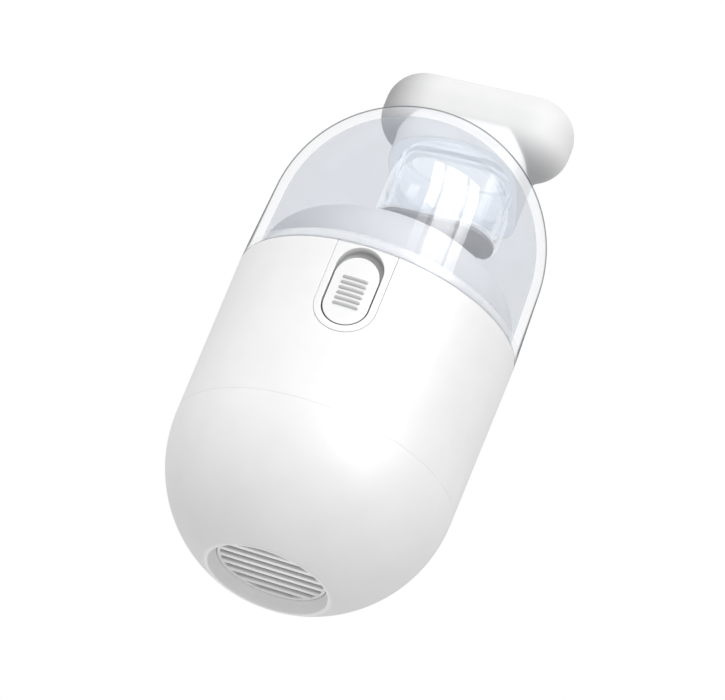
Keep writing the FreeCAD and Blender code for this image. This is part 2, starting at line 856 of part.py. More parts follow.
def nozzle_gasket():
    """Flat rubber band in the plug's groove, proud of it by a hair."""
    length, width = plug_size()
    return gasket_band(length + running, width + running)


def brush_strip(side):
    """One bristle strip along a long wall of the mouth, its tips below the head's top."""
    high = head_low + head_height - brush_recess
    wall = plug_size()[1] / 2 - plug_wall
    ends = sorted((tube_setback + side * wall, tube_setback + side * (wall - brush_thickness)))
    return block((-brush_length / 2, brush_length / 2), ends, (high - brush_depth, high))


def turned(shape):
    """A shape of the cup's frame, turned to where the cup sits on the housing."""
    shape.rotate(ORIGIN, UP, cup_turn)
    return shape


NODES = {
    "upper_housing": upper_housing,
    "switch_panel": switch_panel,
    "spigot_deck": spigot_deck,
    "cup_seal": cup_seal,
    "filter_dome": filter_dome,
    "filter_ring": filter_ring,
    "motor_can": motor_can,
    "motor_end_cap": motor_end_cap,
    "motor_shaft": motor_shaft,
    "impeller": impeller,
    "fan_shroud": fan_shroud,
    "battery_holder": battery_holder,
    "cell_left": lambda: cell(-1),
    "cell_right": lambda: cell(1),
    "cell_contacts": cell_contacts,
    "circuit_board": circuit_board,
    "switch_body": switch_body,
    "switch_actuator": switch_actuator,
    "slide_button": slide_button,
    "lower_cover": lower_cover,
    "exhaust_grille": exhaust_grille,
    "exhaust_foam": exhaust_foam,
    "contact_disc": contact_disc,
    "dust_cup": lambda: turned(dust_cup()),
    "flap_pin": lambda: turned(flap_pin()),
    "inlet_flap": lambda: turned(inlet_flap()),
    "nozzle_body": lambda: turned(nozzle_body()),
    "nozzle_gasket": lambda: turned(nozzle_gasket()),
    "brush_front": lambda: turned(brush_strip(-1)),
    "brush_back": lambda: turned(brush_strip(1)),
}

os.makedirs("parts", exist_ok=True)
for name, make in NODES.items():
    shape = make()
    box = shape.BoundBox
    print(f"{name:16} solids {len(shape.Solids)} valid {shape.isValid()} volume {shape.Volume:9.1f}"
          f"  x {box.XMin:6.2f}..{box.XMax:6.2f} y {box.YMin:6.2f}..{box.YMax:6.2f}"
          f" z {box.ZMin:6.2f}..{box.ZMax:6.2f}")
    shape.exportStep(f"parts/{name}.step")
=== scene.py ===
"""Desktop mini vacuum cleaner: the finish of its pieces, from the air outlet that it stands on
up to the nozzle, then the studio that shows it."""
import math

import bmesh
import bpy
import numpy as np
from mathutils import Matrix, Vector
from mathutils.geometry import tessellate_polygon


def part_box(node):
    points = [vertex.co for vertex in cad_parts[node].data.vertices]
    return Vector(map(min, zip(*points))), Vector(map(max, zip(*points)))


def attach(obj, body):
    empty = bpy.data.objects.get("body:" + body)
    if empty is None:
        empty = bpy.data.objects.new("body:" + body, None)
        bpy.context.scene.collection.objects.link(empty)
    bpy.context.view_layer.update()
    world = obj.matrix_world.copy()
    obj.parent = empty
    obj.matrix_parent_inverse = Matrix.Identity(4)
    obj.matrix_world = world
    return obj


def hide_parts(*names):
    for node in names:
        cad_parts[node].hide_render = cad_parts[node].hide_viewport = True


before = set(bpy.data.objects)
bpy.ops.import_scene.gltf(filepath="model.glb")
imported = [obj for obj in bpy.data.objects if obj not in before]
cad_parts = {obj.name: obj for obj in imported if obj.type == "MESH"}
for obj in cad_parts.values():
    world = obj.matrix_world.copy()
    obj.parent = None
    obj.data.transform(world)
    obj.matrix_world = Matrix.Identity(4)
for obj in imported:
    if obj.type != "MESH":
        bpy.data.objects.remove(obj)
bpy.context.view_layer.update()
scene = bpy.context.scene

MM = 0.001

# Lower cover. A bowl moulded in white ABS that turns off its bayonet to free the cells. The
# vacuum stands on the narrow flat ring round the recessed air outlet.
CAPSULE_RADIUS = 31.0 * MM
SHELL_WALL = 2.0 * MM
STAND_RADIUS = 14.15 * MM
STAND_LAND = 0.8 * MM
STAND_EDGE = 0.17 * MM
LOWER_SEAM = math.sqrt(CAPSULE_RADIUS**2 - STAND_RADIUS**2)
LOWER_GAP = 0.03 * MM        # the bayonet draws this seam nearly shut
LOWER_EDGE = 0.05 * MM
SEAM_GAP = 0.15 * MM
SEAM_EDGE = 0.08 * MM        # rounding of the edges along the other seams
OUTLET_BORE = 12.35 * MM
OUTLET_FLOOR = 4.2 * MM
OUTLET_FACE = 2.6 * MM
COLLAR_OUTER = 28.7 * MM
COLLAR_INNER = 27.2 * MM
COLLAR_TOP = LOWER_SEAM + 6.0 * MM
COLLAR_EDGE = 0.2 * MM
TURNS = 256                  # columns of a turned surface
BOWL_ROWS = 72               # outside and inside the bowl
INNER_ROWS = 40


def arc(centre, radius, first, last, steps):
    """Points of a circle about centre, between two angles in degrees above the horizontal:
    centre + radius * (cos, sin)."""
    angle = np.radians(np.linspace(first, last, steps))
    return np.stack([centre[0] + radius * np.cos(angle), centre[1] + radius * np.sin(angle)], 1)


def line(start, end, steps):
    """Evenly spaced points from start to end, both included."""
    share = np.linspace(0, 1, steps)[:, None]
    return np.asarray(start) * (1 - share) + np.asarray(end) * share


def bend(start, corner, end, steps=5):
    """Points, or whole rows of them, along a parabola from start to end that leaves towards a
    corner: (1-t)^2 A + 2t(1-t) P + t^2 B."""
    return [(1 - t)**2 * start + 2 * t * (1 - t) * corner + t**2 * end for t in np.linspace(0, 1, steps)]


def eased(path, reach):
    """The inner corners of an open path, each eased by a parabola over a reach to both sides."""
    path = np.array(path)
    points = []
    for before, corner, after in zip(path, path[1:], path[2:]):
        start, end = (corner + (point - corner) / math.dist(point, corner) * reach
                      for point in (before, after))
        points += bend(start, corner, end)
    return points


def turned(profile):
    """Surface of revolution about Z as rows of points: each profile point (radius, height)
    becomes the row (radius cos a, radius sin a, height)."""
    angle = np.linspace(0, 2 * math.pi, TURNS, endpoint=False)
    profile = np.asarray(profile)
    radius, height = profile[:, :1], profile[:, 1:]
    return np.stack([radius * np.cos(angle), radius * np.sin(angle), height + 0 * angle], 2)


def skin(rows, ring=False):
    """Mesh arrays for rows of points whose columns close on themselves: one quad between each
    two neighbours in both directions. With ring, the last row joins the first."""
    rows = np.asarray(rows)
    count, columns = rows.shape[:2]
    index = np.arange(count * columns).reshape(count, columns)
    upper = np.roll(index, -1, 0) if ring else index[1:]
    lower = index if ring else index[:-1]
    quads = np.stack([lower, np.roll(lower, -1, 1), np.roll(upper, -1, 1), upper], 2)
    return rows.reshape(-1, 3), quads.reshape(-1, 4).tolist()


def linked(name, data):
    """New object in the scene for a mesh, a light or a camera."""
    made = bpy.data.objects.new(name, data)
    scene.collection.objects.link(made)
    return made


def piece(name, body, material, *skins, node=None, sharp=40.0):
    """One object from mesh arrays: points that coincide are merged, faces turned outwards,
    and edges over the sharp angle, in degrees, stay crisp. It rides on a body and may stand
    for CAD nodes."""
    mesh = bpy.data.meshes.new(name)
    work = bmesh.new()
    for points, faces in skins:
        part = bpy.data.meshes.new("part")
        part.from_pydata(points.tolist(), [], faces)
        shell = bmesh.new()
        shell.from_mesh(part)
        bmesh.ops.remove_doubles(shell, verts=shell.verts, dist=1e-7)
        bmesh.ops.recalc_face_normals(shell, faces=shell.faces)
        shell.to_mesh(part)
        work.from_mesh(part)
        shell.free()
        bpy.data.meshes.remove(part)
    work.to_mesh(mesh)
    work.free()
    mesh.shade_smooth()
    mesh.set_sharp_from_angle(angle=math.radians(sharp))
    mesh.materials.append(material)
    made = linked(name, mesh)
    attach(made, body)
    if node:
        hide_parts(node)
    return made


class Signal:
    """An output in a material's node tree. Arithmetic on it adds Math nodes."""

    def __init__(self, tree, socket=None):
        self.tree = tree
        self.socket = socket

    def node(self, kind, settings=None, inputs=None, output=0):
        """Adds a node of any type: its settings are set first, then each socket, by name or
        number, gets its value or its link. Gives the chosen output back as a Signal."""
        made = self.tree.nodes.new("ShaderNode" + kind)
        for key, value in (settings or {}).items():
            setattr(made, key, value)
        for key, value in (inputs or {}).items():
            if isinstance(value, Signal):
                self.tree.links.new(value.socket, made.inputs[key])
            else:
                made.inputs[key].default_value = value
        return Signal(self.tree, made.outputs[output]) if made.outputs else None

    def math(self, operation, first, second=0.0):
        """The result of a Math node on two values."""
        return self.node("Math", {"operation": operation}, {0: first, 1: second})

    def __add__(self, other):
        return self.math("ADD", self, other)

    def __sub__(self, other):
        return self.math("SUBTRACT", self, other)

    def __rsub__(self, other):
        return self.math("SUBTRACT", other, self)

    def __mul__(self, other):
        return self.math("MULTIPLY", self, other)

    def noise(self, scale, detail, rough=0.5):
        """Noise on this position; scale is the number of its cells in a metre."""
        return self.node("TexNoise", {}, {"Vector": self, "Scale": scale, "Detail": detail,
                                          "Roughness": rough})

    def stretched(self, along, across, upwards):
        """This position with each axis scaled, so that a pattern on it gets streaks."""
        scale = (along, across, upwards)
        return self.node("VectorMath", {"operation": "MULTIPLY"}, {0: self, 1: scale})

    def axis(self, letter):
        """One coordinate of this position."""
        return self.node("SeparateXYZ", {}, {0: self}, "XYZ".index(letter))

    def within(self, low, high):
        """0 below low, 1 above high, smooth between."""
        settings = {"interpolation_type": "SMOOTHSTEP"}
        return self.node("MapRange", settings, {"Value": self, "From Min": low, "From Max": high})

    def mix(self, first, second):
        """Colour that goes from first to second as this signal goes from 0 to 1."""
        return self.node("Mix", {"data_type": "RGBA"}, {0: self, 6: first, 7: second}, 2)

    def blend(self, first, second):
        """Shader that goes from first to second as this signal goes from 0 to 1."""
        return self.node("MixShader", {}, {0: self, 1: first, 2: second})

    def bump(self, height, metres):
        """Normal of a surface raised by height times metres."""
        return self.node("Bump", {}, {"Height": height, "Distance": metres})


def rgb(red, green, blue, share=1.0):
    """An opaque colour, scaled by a share."""
    return (red * share, green * share, blue * share, 1.0)


def started(name):
    """An empty material, and the position on the object that its patterns are read from."""
    material = bpy.data.materials.new(name)
    material.use_nodes = True
    material.node_tree.nodes.clear()
    return material, Signal(material.node_tree).node("TexCoord", {}, {}, "Object")


def ended(material, where, shader):
    """The material, now that its surface is this shader."""
    where.node("OutputMaterial", {}, {"Surface": shader})
    return material


def surfaced(material, where, inputs):
    """The material, now that its surface is a Principled shader with these inputs."""
    return ended(material, where, where.node("BsdfPrincipled", {}, inputs))


BLACK = rgb(0, 0, 0)
WHITE = rgb(1, 1, 1)


def moulded(name, colour, roughness, grain=0.012 * MM, shine=0.5, shade=0.965, patch=None,
            glow=None):
    """Injection-moulded plastic: the fine pitting of a spark-eroded mould, slow waves of gloss
    from the melt, and a faint unevenness of its colour. A patch changes the colour by the
    position on the object, and a glow adds faint light of its own."""
    material, where = started(name)
    flow = where.noise(45.0, 3.0)
    pits = where.noise(3800.0, 2.0, 0.6)
    tone = where.noise(160.0, 4.0) * 0.5 + flow * 0.5
    base = tone.within(0.3, 0.7).mix(rgb(*colour, shade), rgb(*colour))
    if patch:
        base = patch(where, base)
    gloss = (flow - 0.5) * 0.10 + (pits - 0.5) * 0.12 + roughness
    return surfaced(material, where, {
        "Base Color": base, "Roughness": gloss, "Normal": where.bump(pits, grain),
        "Specular IOR Level": shine, "Emission Color": glow(where) if glow else BLACK,
        "Emission Strength": 1.0 if glow else 0.0})


shell_white = moulded("satin_white_abs", (0.87, 0.87, 0.87), 0.46, shine=0.40)

rim_angle = -math.degrees(math.acos(STAND_RADIUS / CAPSULE_RADIUS))
inner_radius = CAPSULE_RADIUS - SHELL_WALL
inner_rim = -math.degrees(math.asin((LOWER_SEAM - OUTLET_FLOOR) / inner_radius))
inner_top = -math.degrees(math.acos(COLLAR_INNER / inner_radius))
bowl_centre = (0.0, LOWER_SEAM)
stand_edge = eased([(OUTLET_BORE, OUTLET_FLOOR), (OUTLET_BORE, OUTLET_FACE),
                    (STAND_RADIUS - STAND_LAND, 0.0), (STAND_RADIUS, 0.0)], STAND_EDGE)
seam_edge = eased([(CAPSULE_RADIUS, LOWER_SEAM - MM), (CAPSULE_RADIUS, LOWER_SEAM),
                   (COLLAR_OUTER, LOWER_SEAM)], LOWER_EDGE)
collar_edge = eased([(COLLAR_OUTER, LOWER_SEAM), (COLLAR_OUTER, COLLAR_TOP),
                     (COLLAR_INNER, COLLAR_TOP), (COLLAR_INNER, LOWER_SEAM)], COLLAR_EDGE)
cover_profile = np.concatenate([
    [(OUTLET_BORE, OUTLET_FLOOR)],
    stand_edge,
    arc(bowl_centre, CAPSULE_RADIUS, rim_angle + 0.1, -0.3, BOWL_ROWS),   # stops short of both edges
    seam_edge,
    [(COLLAR_OUTER, LOWER_SEAM)],
    collar_edge,
    arc(bowl_centre, inner_radius, inner_top, inner_rim, INNER_ROWS),
])
lower_cover = piece("lower_cover_shell", "lower_cover", shell_white,
                    skin(turned(cover_profile), ring=True), node="lower_cover")

# Air outlet. A slotted disc of the same ABS, dropped into the cover from inside: its flange
# rests on the cover's floor, and its slots end along one circle.
GRILLE_RADIUS = 12.2 * MM
GRILLE_FLANGE = 1.3 * MM
SLOT_ZONE = 11.5 * MM
SLOT_COUNT = 8
SLOT_PITCH = 2.9 * MM
SLOT_WIDTH = 1.7 * MM
SLOT_EDGE = 0.18 * MM
SLOT_STEPS = 8               # points of the arc at each end of a slot
SHADE_GREY = (0.60, 0.60, 0.605)


def quarter_round(edge, steps=5):
    """Pairs (inset, drop) that round an edge over: e(1 - sin a) inside it and e(1 - cos a)
    below the surface, from the surface on."""
    turn = np.radians(np.linspace(0, 90, steps))
    return [(edge * (1 - math.sin(a)), edge * (1 - math.cos(a))) for a in turn]


def slot_line(middle, growth):
    """Outline of a slot along X, grown by a margin: two straight sides at y = middle +- w / 2
    between two arcs of the circle x^2 + y^2 = zone^2."""
    reach = SLOT_ZONE + growth
    half = SLOT_WIDTH / 2 + growth
    low, high = (math.degrees(math.asin((middle + side * half) / reach)) for side in (-1, 1))
    return np.concatenate([arc((0, 0), reach, start, end, SLOT_STEPS)
                           for start, end in ((low, high), (180 - high, 180 - low))])


def flat(plane, height):
    """Plan points (x, y) raised to a height."""
    return np.insert(plane, 2, height, axis=1)


def filled(outlines, height):
    """Flat face at a height, between the first outline and the others, which are holes."""
    loops = [[Vector(point) for point in flat(outline, 0.0).tolist()] for outline in outlines]
    return flat(np.concatenate(outlines), height), [list(face) for face in tessellate_polygon(loops)]


def joined(*skins):
    """One pair of mesh arrays from several that share their edges."""
    first = np.cumsum([0] + [len(points) for points, _ in skins])
    faces = [[i + start for i in face] for start, (_, part) in zip(first.tolist(), skins) for face in part]
    return np.concatenate([points for points, _ in skins]), faces


def grille_mesh():
    """The disc: roundings along each slot and round the face, walls behind them, and flat
    faces in front and at the back."""
    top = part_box("exhaust_grille")[1].z
    eases = [(inset, OUTLET_FACE + drop) for inset, drop in quarter_round(SLOT_EDGE)]
    middles = [SLOT_PITCH * (i - (SLOT_COUNT - 1) / 2) for i in range(SLOT_COUNT)]
    holes = [skin([flat(slot_line(y, growth), height) for growth, height in (*eases, (0.0, top))])
             for y in middles]
    flange = GRILLE_RADIUS + GRILLE_FLANGE
    rim = [(GRILLE_RADIUS - growth, height) for growth, height in eases]
    rim += [(GRILLE_RADIUS, OUTLET_FLOOR), (flange, OUTLET_FLOOR), (flange, top)]
    face, back = (turned([rim[i]])[0][:, :2] for i in (0, -1))
    front = filled([face, *(slot_line(y, SLOT_EDGE) for y in middles)], OUTLET_FACE)
    rear = filled([back, *(slot_line(y, 0.0) for y in middles)], top)
    return joined(skin(turned(rim)), *holes, front, rear)


def slot_shade(where, base):
    """Painted shade: the slots' walls darken with their depth behind the face."""
    depth = where.axis("Z").within(OUTLET_FACE + 0.15 * MM, OUTLET_FACE + 0.9 * MM)
    return depth.mix(base, rgb(*SHADE_GREY))


grille_white = moulded("grille_white_abs", (0.92, 0.92, 0.92), 0.42, patch=slot_shade)
grille = piece("exhaust_grille_disc", "lower_cover", grille_white, grille_mesh(),
               node="exhaust_grille", sharp=50)

# Foam and contacts. The foam behind the grille is open-celled and dark. A plated steel disc on
# the cover bridges the cells, and two dimpled strips press on their upper ends.
def finish_node(node, material):
    """Gives a CAD node its material."""
    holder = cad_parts[node]
    if not holder.material_slots:
        holder.data.materials.append(material)
    for place in holder.material_slots:
        place.material = material


def foam(name, colour, cells):
    """Open-cell foam: a sponge of pores, with painted shade in their depths."""
    material, where = started(name)
    pores = where.node("TexVoronoi", {"feature": "DISTANCE_TO_EDGE"}, {"Vector": where, "Scale": cells})
    depth = pores.within(0.0, 0.25)
    return surfaced(material, where, {
        "Base Color": depth.mix(rgb(*colour), rgb(*colour, 0.35)), "Roughness": 0.95,
        "Normal": where.bump(1 - depth, 0.3 * MM)})


def metal(name, colour, roughness, streak=(1.0, 1.0, 40.0)):
    """Bare or plated metal with fine drawing marks along one direction and faint handling
    marks."""
    material, where = started(name)
    lines = where.stretched(*streak).noise(260.0, 3.0)
    smears = where.noise(70.0, 4.0)
    base = smears.within(0.35, 0.7).mix(rgb(*colour, 0.88), rgb(*colour))
    gloss = (lines - 0.5) * 0.14 + (smears - 0.5) * 0.10 + roughness
    return surfaced(material, where, {
        "Base Color": base, "Metallic": 1.0, "Roughness": gloss, "Normal": where.bump(lines, 0.004 * MM)})


spring_steel = metal("nickel_plated_spring_steel", (0.78, 0.75, 0.68), 0.28, (1.0, 40.0, 1.0))
finish_node("exhaust_foam", foam("outlet_foam", (0.10, 0.10, 0.105), 1400.0))
finish_node("contact_disc", spring_steel)
finish_node("cell_contacts", spring_steel)

# Cells in their holder. The holder is plain moulded ABS; each cell has a foil sleeve with a
# lighter band at one end, its printing left off.
SLEEVE_BAND = 14.0 * MM      # from the cell's end to the edge of the lighter band
SLEEVE_FADE = 0.2 * MM
STEEL_LOW = 1.2 * MM         # bare steel at the cell's two ends
STEEL_HIGH = 1.6 * MM
finish_node("battery_holder", moulded("holder_abs", (0.74, 0.74, 0.73), 0.45))


def sleeve(name, node, nub_up):
    """Printed foil sleeve of a cell: dark with one lighter band, and bare steel at the ends."""
    material, where = started(name)
    low, high = (corner.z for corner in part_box(node))
    height = where.axis("Z")
    band = high - SLEEVE_BAND if nub_up else low + SLEEVE_BAND
    lower = height.within(band - SLEEVE_FADE / 2, band + SLEEVE_FADE / 2)
    tones = (rgb(0.05, 0.055, 0.06), rgb(0.55, 0.36, 0.18))
    sleeve_tone = lower.mix(*(tones if nub_up else tones[::-1]))
    ends = height.within(low + STEEL_LOW, low + STEEL_LOW + SLEEVE_FADE)
    ends = ends * (1 - height.within(high - STEEL_HIGH - SLEEVE_FADE, high - STEEL_HIGH))
    return surfaced(material, where, {
        "Base Color": ends.mix(rgb(0.7, 0.69, 0.66), sleeve_tone), "Metallic": 1 - ends * 0.6,
        "Roughness": where.noise(300.0, 4.0) * 0.2 + 0.2})


finish_node("cell_left", sleeve("left_cell_sleeve", "cell_left", True))
finish_node("cell_right", sleeve("right_cell_sleeve", "cell_right", False))

# Upper housing. A straight tube of the same white ABS between the two seams, with a notch for
# the switch panel that opens into the upper seam.
UPPER_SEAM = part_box("dust_cup")[0].z
HOUSING_LOW = LOWER_SEAM + LOWER_GAP
HOUSING_HIGH = UPPER_SEAM - SEAM_GAP
NOTCH_WIDTH = 13.6 * MM
NOTCH_LOW = UPPER_SEAM - 20.9 * MM
NOTCH_CORNER = 0.3 * MM      # rounding of the shell's two corners at the notch
HOUSING_ROWS = 28
NOTCH_COLUMNS = 72           # of its round end
SIDE_COLUMNS = 20
BACK_COLUMNS = 260


def housing_edge():
    """Upper edge of the shell, unrolled: points (angle from the front, height) that go once
    round the back and then down, round and up the notch. A notch point at x lies at the angle
    asin(x / radius)."""
    half, corner = NOTCH_WIDTH / 2, NOTCH_CORNER
    left_corner = arc((-half - corner, HOUSING_HIGH - corner), corner, 90, 0, 8)
    bottom = arc((0, NOTCH_LOW + half), half, 180, 360, NOTCH_COLUMNS)
    left_side = line(left_corner[-1], bottom[0], SIDE_COLUMNS)[1:-1]
    flipped = left_side[::-1] * (-1, 1)
    right_corner = left_corner[::-1] * (-1, 1)
    notch = np.concatenate([left_corner, left_side, bottom, flipped, right_corner])
    angle = np.arcsin(notch[:, 0] / CAPSULE_RADIUS) + 2 * math.pi
    start = angle[-1] - 2 * math.pi
    back = line((start, HOUSING_HIGH), (angle[0], HOUSING_HIGH), BACK_COLUMNS)[1:-1]
    return np.concatenate([back, np.stack([angle, notch[:, 1]], 1)])


def on_tube(plane, radius):
    """Points (angle, height) laid on an upright tube: x = r sin a, y = -r cos a."""
    angle, height = plane[:, 0], plane[:, 1]
    return np.stack([radius * np.sin(angle), -radius * np.cos(angle), height], 1)


def housing_rows():
    """The shell as rows between its lower edge and its notched upper edge, both rounded. A
    point's share of the upper edge's length, counted from below the notch, sets its angle on
    the lower edge."""
    top = housing_edge()
    turn = np.array([2 * math.pi, 0])
    steps = np.concatenate([top[1:], top[:1] + turn]) - np.concatenate([top[-1:] - turn, top[:-1]])
    across, rise = steps[:, 0] * CAPSULE_RADIUS, steps[:, 1]
    length = np.hypot(across, rise)
    outwards = np.stack([-rise / CAPSULE_RADIUS, across], 1) / length[:, None]
    share = np.cumsum(length) / length.sum()
    share -= share[np.argmin(top[:, 1])]
    bottom = np.stack([2 * math.pi * (1 + share), np.full(len(top), HOUSING_LOW)], 1)
    upper = [(top - outwards * inset, drop) for inset, drop in quarter_round(SEAM_EDGE)]
    lower = [(bottom + (0, inset), drop) for inset, drop in quarter_round(LOWER_EDGE)[::-1]]
    rows = [on_tube(plane, CAPSULE_RADIUS - drop) for plane, drop in lower]
    for t in np.linspace(0, 1, HOUSING_ROWS)[1:-1]:
        rows.append(on_tube(lower[-1][0] * (1 - t) + upper[0][0] * t, CAPSULE_RADIUS))
    rows += [on_tube(plane, CAPSULE_RADIUS - drop) for plane, drop in upper]
    for t in np.linspace(0, 1, HOUSING_ROWS):
        rows.append(on_tube(top * (1 - t) + bottom * t, inner_radius))
    return rows


housing = piece("upper_housing_shell", "housing", shell_white, skin(housing_rows(), ring=True),
                node="upper_housing")

# Index marks: two short moulded dashes, one above the lower seam and one below it, that line up
# when the cover is turned home.
MARK_LENGTH = 1.6 * MM
MARK_WIDTH = 0.22 * MM
MARK_HEIGHT = 0.06 * MM
MARK_ACROSS = 4.1 * MM
MARK_APART = 0.35 * MM


def rounded(length, width, low_corner=None, high_corner=None):
    """Size of an outline, length along u and width along v: low_corner is the radius of its
    corners at -v and high_corner of those at +v. Without them its ends are round."""
    low_corner = low_corner or width / 2
    return np.array([length, width, low_corner, high_corner or low_corner])


def outline(size, growth=0.0, samples=20):
    """Closed outline of a rounded rectangle about the origin, moved outwards by a growth. Each
    of its eight stretches, four corners and four sides, has the same number of points, so
    outlines match point by point."""
    a, b, low, high = size * (0.5, 0.5, 1, 1) + growth
    corners = [(a - low, low - b, low, -90), (a - high, b - high, high, 0),
               (high - a, b - high, high, 90), (low - a, low - b, low, 180)]
    arcs = [arc((u, v), radius, start, start + 90, samples + 1) for u, v, radius, start in corners]
    sides = [line(arcs[i][-1], arcs[(i + 1) % 4][0], samples + 1)[:-1] for i in range(4)]
    return np.concatenate([stretch for i in range(4) for stretch in (arcs[i][:-1], sides[i])])


def facing(plane, middle, depth):
    """Outline (x, z) about a height, at a depth in front of the axis: y = -depth."""
    x, z = plane[:, 0], plane[:, 1] + middle
    return np.stack([x, 0 * x - depth, z], 1)


def curved(plane, middle, radius):
    """Outline (x, z) laid on the front of an upright tube: y = -sqrt(r^2 - x^2)."""
    return facing(plane, middle, np.sqrt(radius**2 - plane[:, 0]**2))


def raised_bar(size, across, middle, radius, height, edge):
    """A bar that stands out of a tube's surface: rows up its side, over its rounded edge and
    in to the line along its crest."""
    crest = radius + height
    rows = [(0, radius - edge)]
    rows += [(inset, crest - drop) for inset, drop in quarter_round(edge, 6)[::-1]]
    rows.append((size[1] / 2, crest))
    return [curved(outline(size, -inset, 8) + (across, 0), middle, reach) for inset, reach in rows]


mark = rounded(MARK_LENGTH, MARK_WIDTH)
for name, body, side in (("index_mark_housing", "housing", 1), ("index_mark_cover", "lower_cover", -1)):
    bar = raised_bar(mark, MARK_ACROSS, LOWER_SEAM + side * MARK_APART, CAPSULE_RADIUS,
                     MARK_HEIGHT, MARK_HEIGHT)
    piece(name, body, shell_white, skin(bar))

# Switch panel. A separate inset in the notch, moulded a shade matter than the shell, with a
# round-ended pocket for the button and a slot in the pocket's floor for its stem.
PANEL_WIDTH = 13.42 * MM
PANEL_LOW = NOTCH_LOW + 0.09 * MM
PANEL_BACK = 26.4 * MM
POCKET_WIDTH = 10.4 * MM
POCKET_LOW = NOTCH_LOW + 1.6 * MM
POCKET_HIGH = UPPER_SEAM - 0.6 * MM
POCKET_FLOOR = 28.2 * MM
POCKET_EDGE = 0.15 * MM
POCKET_COVE = 0.3 * MM       # along the foot of its walls


def rounding(size, step, edge, middle, radius, steps=5):
    """Rows that round the edge of an outline on a tube: from the surface, an edge's width
    inside (step -1) or outside (step 1) the outline, over to the wall below it."""
    return [curved(outline(size, step * inset), middle, radius - drop)
            for inset, drop in quarter_round(edge, steps)]


pocket = rounded(POCKET_WIDTH, POCKET_HIGH - POCKET_LOW, POCKET_WIDTH / 2)
panel = rounded(PANEL_WIDTH, HOUSING_HIGH - PANEL_LOW, PANEL_WIDTH / 2, NOTCH_CORNER)
stem_slot = outline(rounded(3.2 * MM, 6.0 * MM, 0.3 * MM))
pocket_middle = (POCKET_HIGH + POCKET_LOW) / 2
panel_middle = (HOUSING_HIGH + PANEL_LOW) / 2
panel_rows = [
    facing(stem_slot, pocket_middle, PANEL_BACK),
    facing(stem_slot, pocket_middle, POCKET_FLOOR),
    facing(outline(pocket, -POCKET_COVE), pocket_middle, POCKET_FLOOR),
    facing(outline(pocket, -POCKET_COVE / 3), pocket_middle, POCKET_FLOOR + POCKET_COVE / 3),
    facing(outline(pocket), pocket_middle, POCKET_FLOOR + POCKET_COVE),
    *rounding(pocket, 1, POCKET_EDGE, pocket_middle, CAPSULE_RADIUS)[::-1],
    *rounding(panel, -1, SEAM_EDGE, panel_middle, CAPSULE_RADIUS),
    facing(outline(panel), panel_middle, PANEL_BACK),
]


def by_radius(*bands):
    """A patch of bands (from, to, colour): between its two distances from the capsule's axis
    each fades into its colour."""
    def patch(where, base):
        across, depth = where.axis("X"), where.axis("Y")
        square = across * across + depth * depth
        for start, end, colour in bands:
            base = square.within(start**2, end**2).mix(base, rgb(*colour))
        return base
    return patch


# Painted light and shade on the panel: the pocket's wall is painted lighter just under its rim and grades to
# painted shade towards its floor, and the panel's edge at the seam is painted darker.
POCKET_WALL_PAINTED_LIGHT = (0.94, 0.94, 0.945)
SEAM_PAINTED_SHADE = (0.32, 0.32, 0.325)
pocket_shade = by_radius((CAPSULE_RADIUS - 0.10 * MM, CAPSULE_RADIUS - 0.25 * MM, POCKET_WALL_PAINTED_LIGHT),
                         (CAPSULE_RADIUS - 0.5 * MM, POCKET_FLOOR + 0.4 * MM, SHADE_GREY))
seam_shade = by_radius((CAPSULE_RADIUS - 0.01 * MM, CAPSULE_RADIUS - 0.08 * MM, SEAM_PAINTED_SHADE))


def panel_shade(where, base):
    """Painted shade: the pocket darkens towards its floor, under a painted lighter band below its rim. From
    0.5 to 0.9 mm beyond the pocket's outline that gives way to the seam, where the panel's own edge darkens
    with painted shade."""
    below = where.math("MAXIMUM", POCKET_LOW + POCKET_WIDTH / 2 - where.axis("Z"), 0.0)
    square = where.axis("X") * where.axis("X") + below * below
    edge = square.within((POCKET_WIDTH / 2 + 0.5 * MM)**2, (POCKET_WIDTH / 2 + 0.9 * MM)**2)
    return edge.mix(pocket_shade(where, base), seam_shade(where, base))


panel_white = moulded("matt_white_abs", (0.87, 0.87, 0.873), 0.45, 0.018 * MM, patch=panel_shade)
panel_piece = piece("switch_panel_inset", "housing", panel_white, skin(panel_rows, ring=True),
                    node="switch_panel")

# Slide button. A slider as curved as the shell, sunk a little below it, with six raised ribs
# for the thumb. Its stem reaches the switch behind the panel.
BUTTON_WIDTH = 9.8 * MM
BUTTON_LENGTH = 16.2 * MM
BUTTON_FACE = 30.6 * MM
BUTTON_LOW = NOTCH_LOW + 1.95 * MM
BUTTON_BACK = POCKET_FLOOR + 0.3 * MM
BUTTON_EDGE = 0.22 * MM
RIB_COUNT = 6
RIB_PITCH = 1.28 * MM
RIB = rounded(5.7 * MM, 0.80 * MM)
RIB_DROP = 0.38 * MM
RIB_HEIGHT = 0.38 * MM
RIB_EDGE = 0.36 * MM
STEM = rounded(2.6 * MM, 3.4 * MM, 0.2 * MM)
STEM_TOP = BUTTON_BACK + 0.2 * MM
STEM_END = 26.1 * MM
GAP_PAINTED_SHADE = (0.07, 0.07, 0.075)
RIB_PAINTED_SHADE = (0.48, 0.48, 0.485)

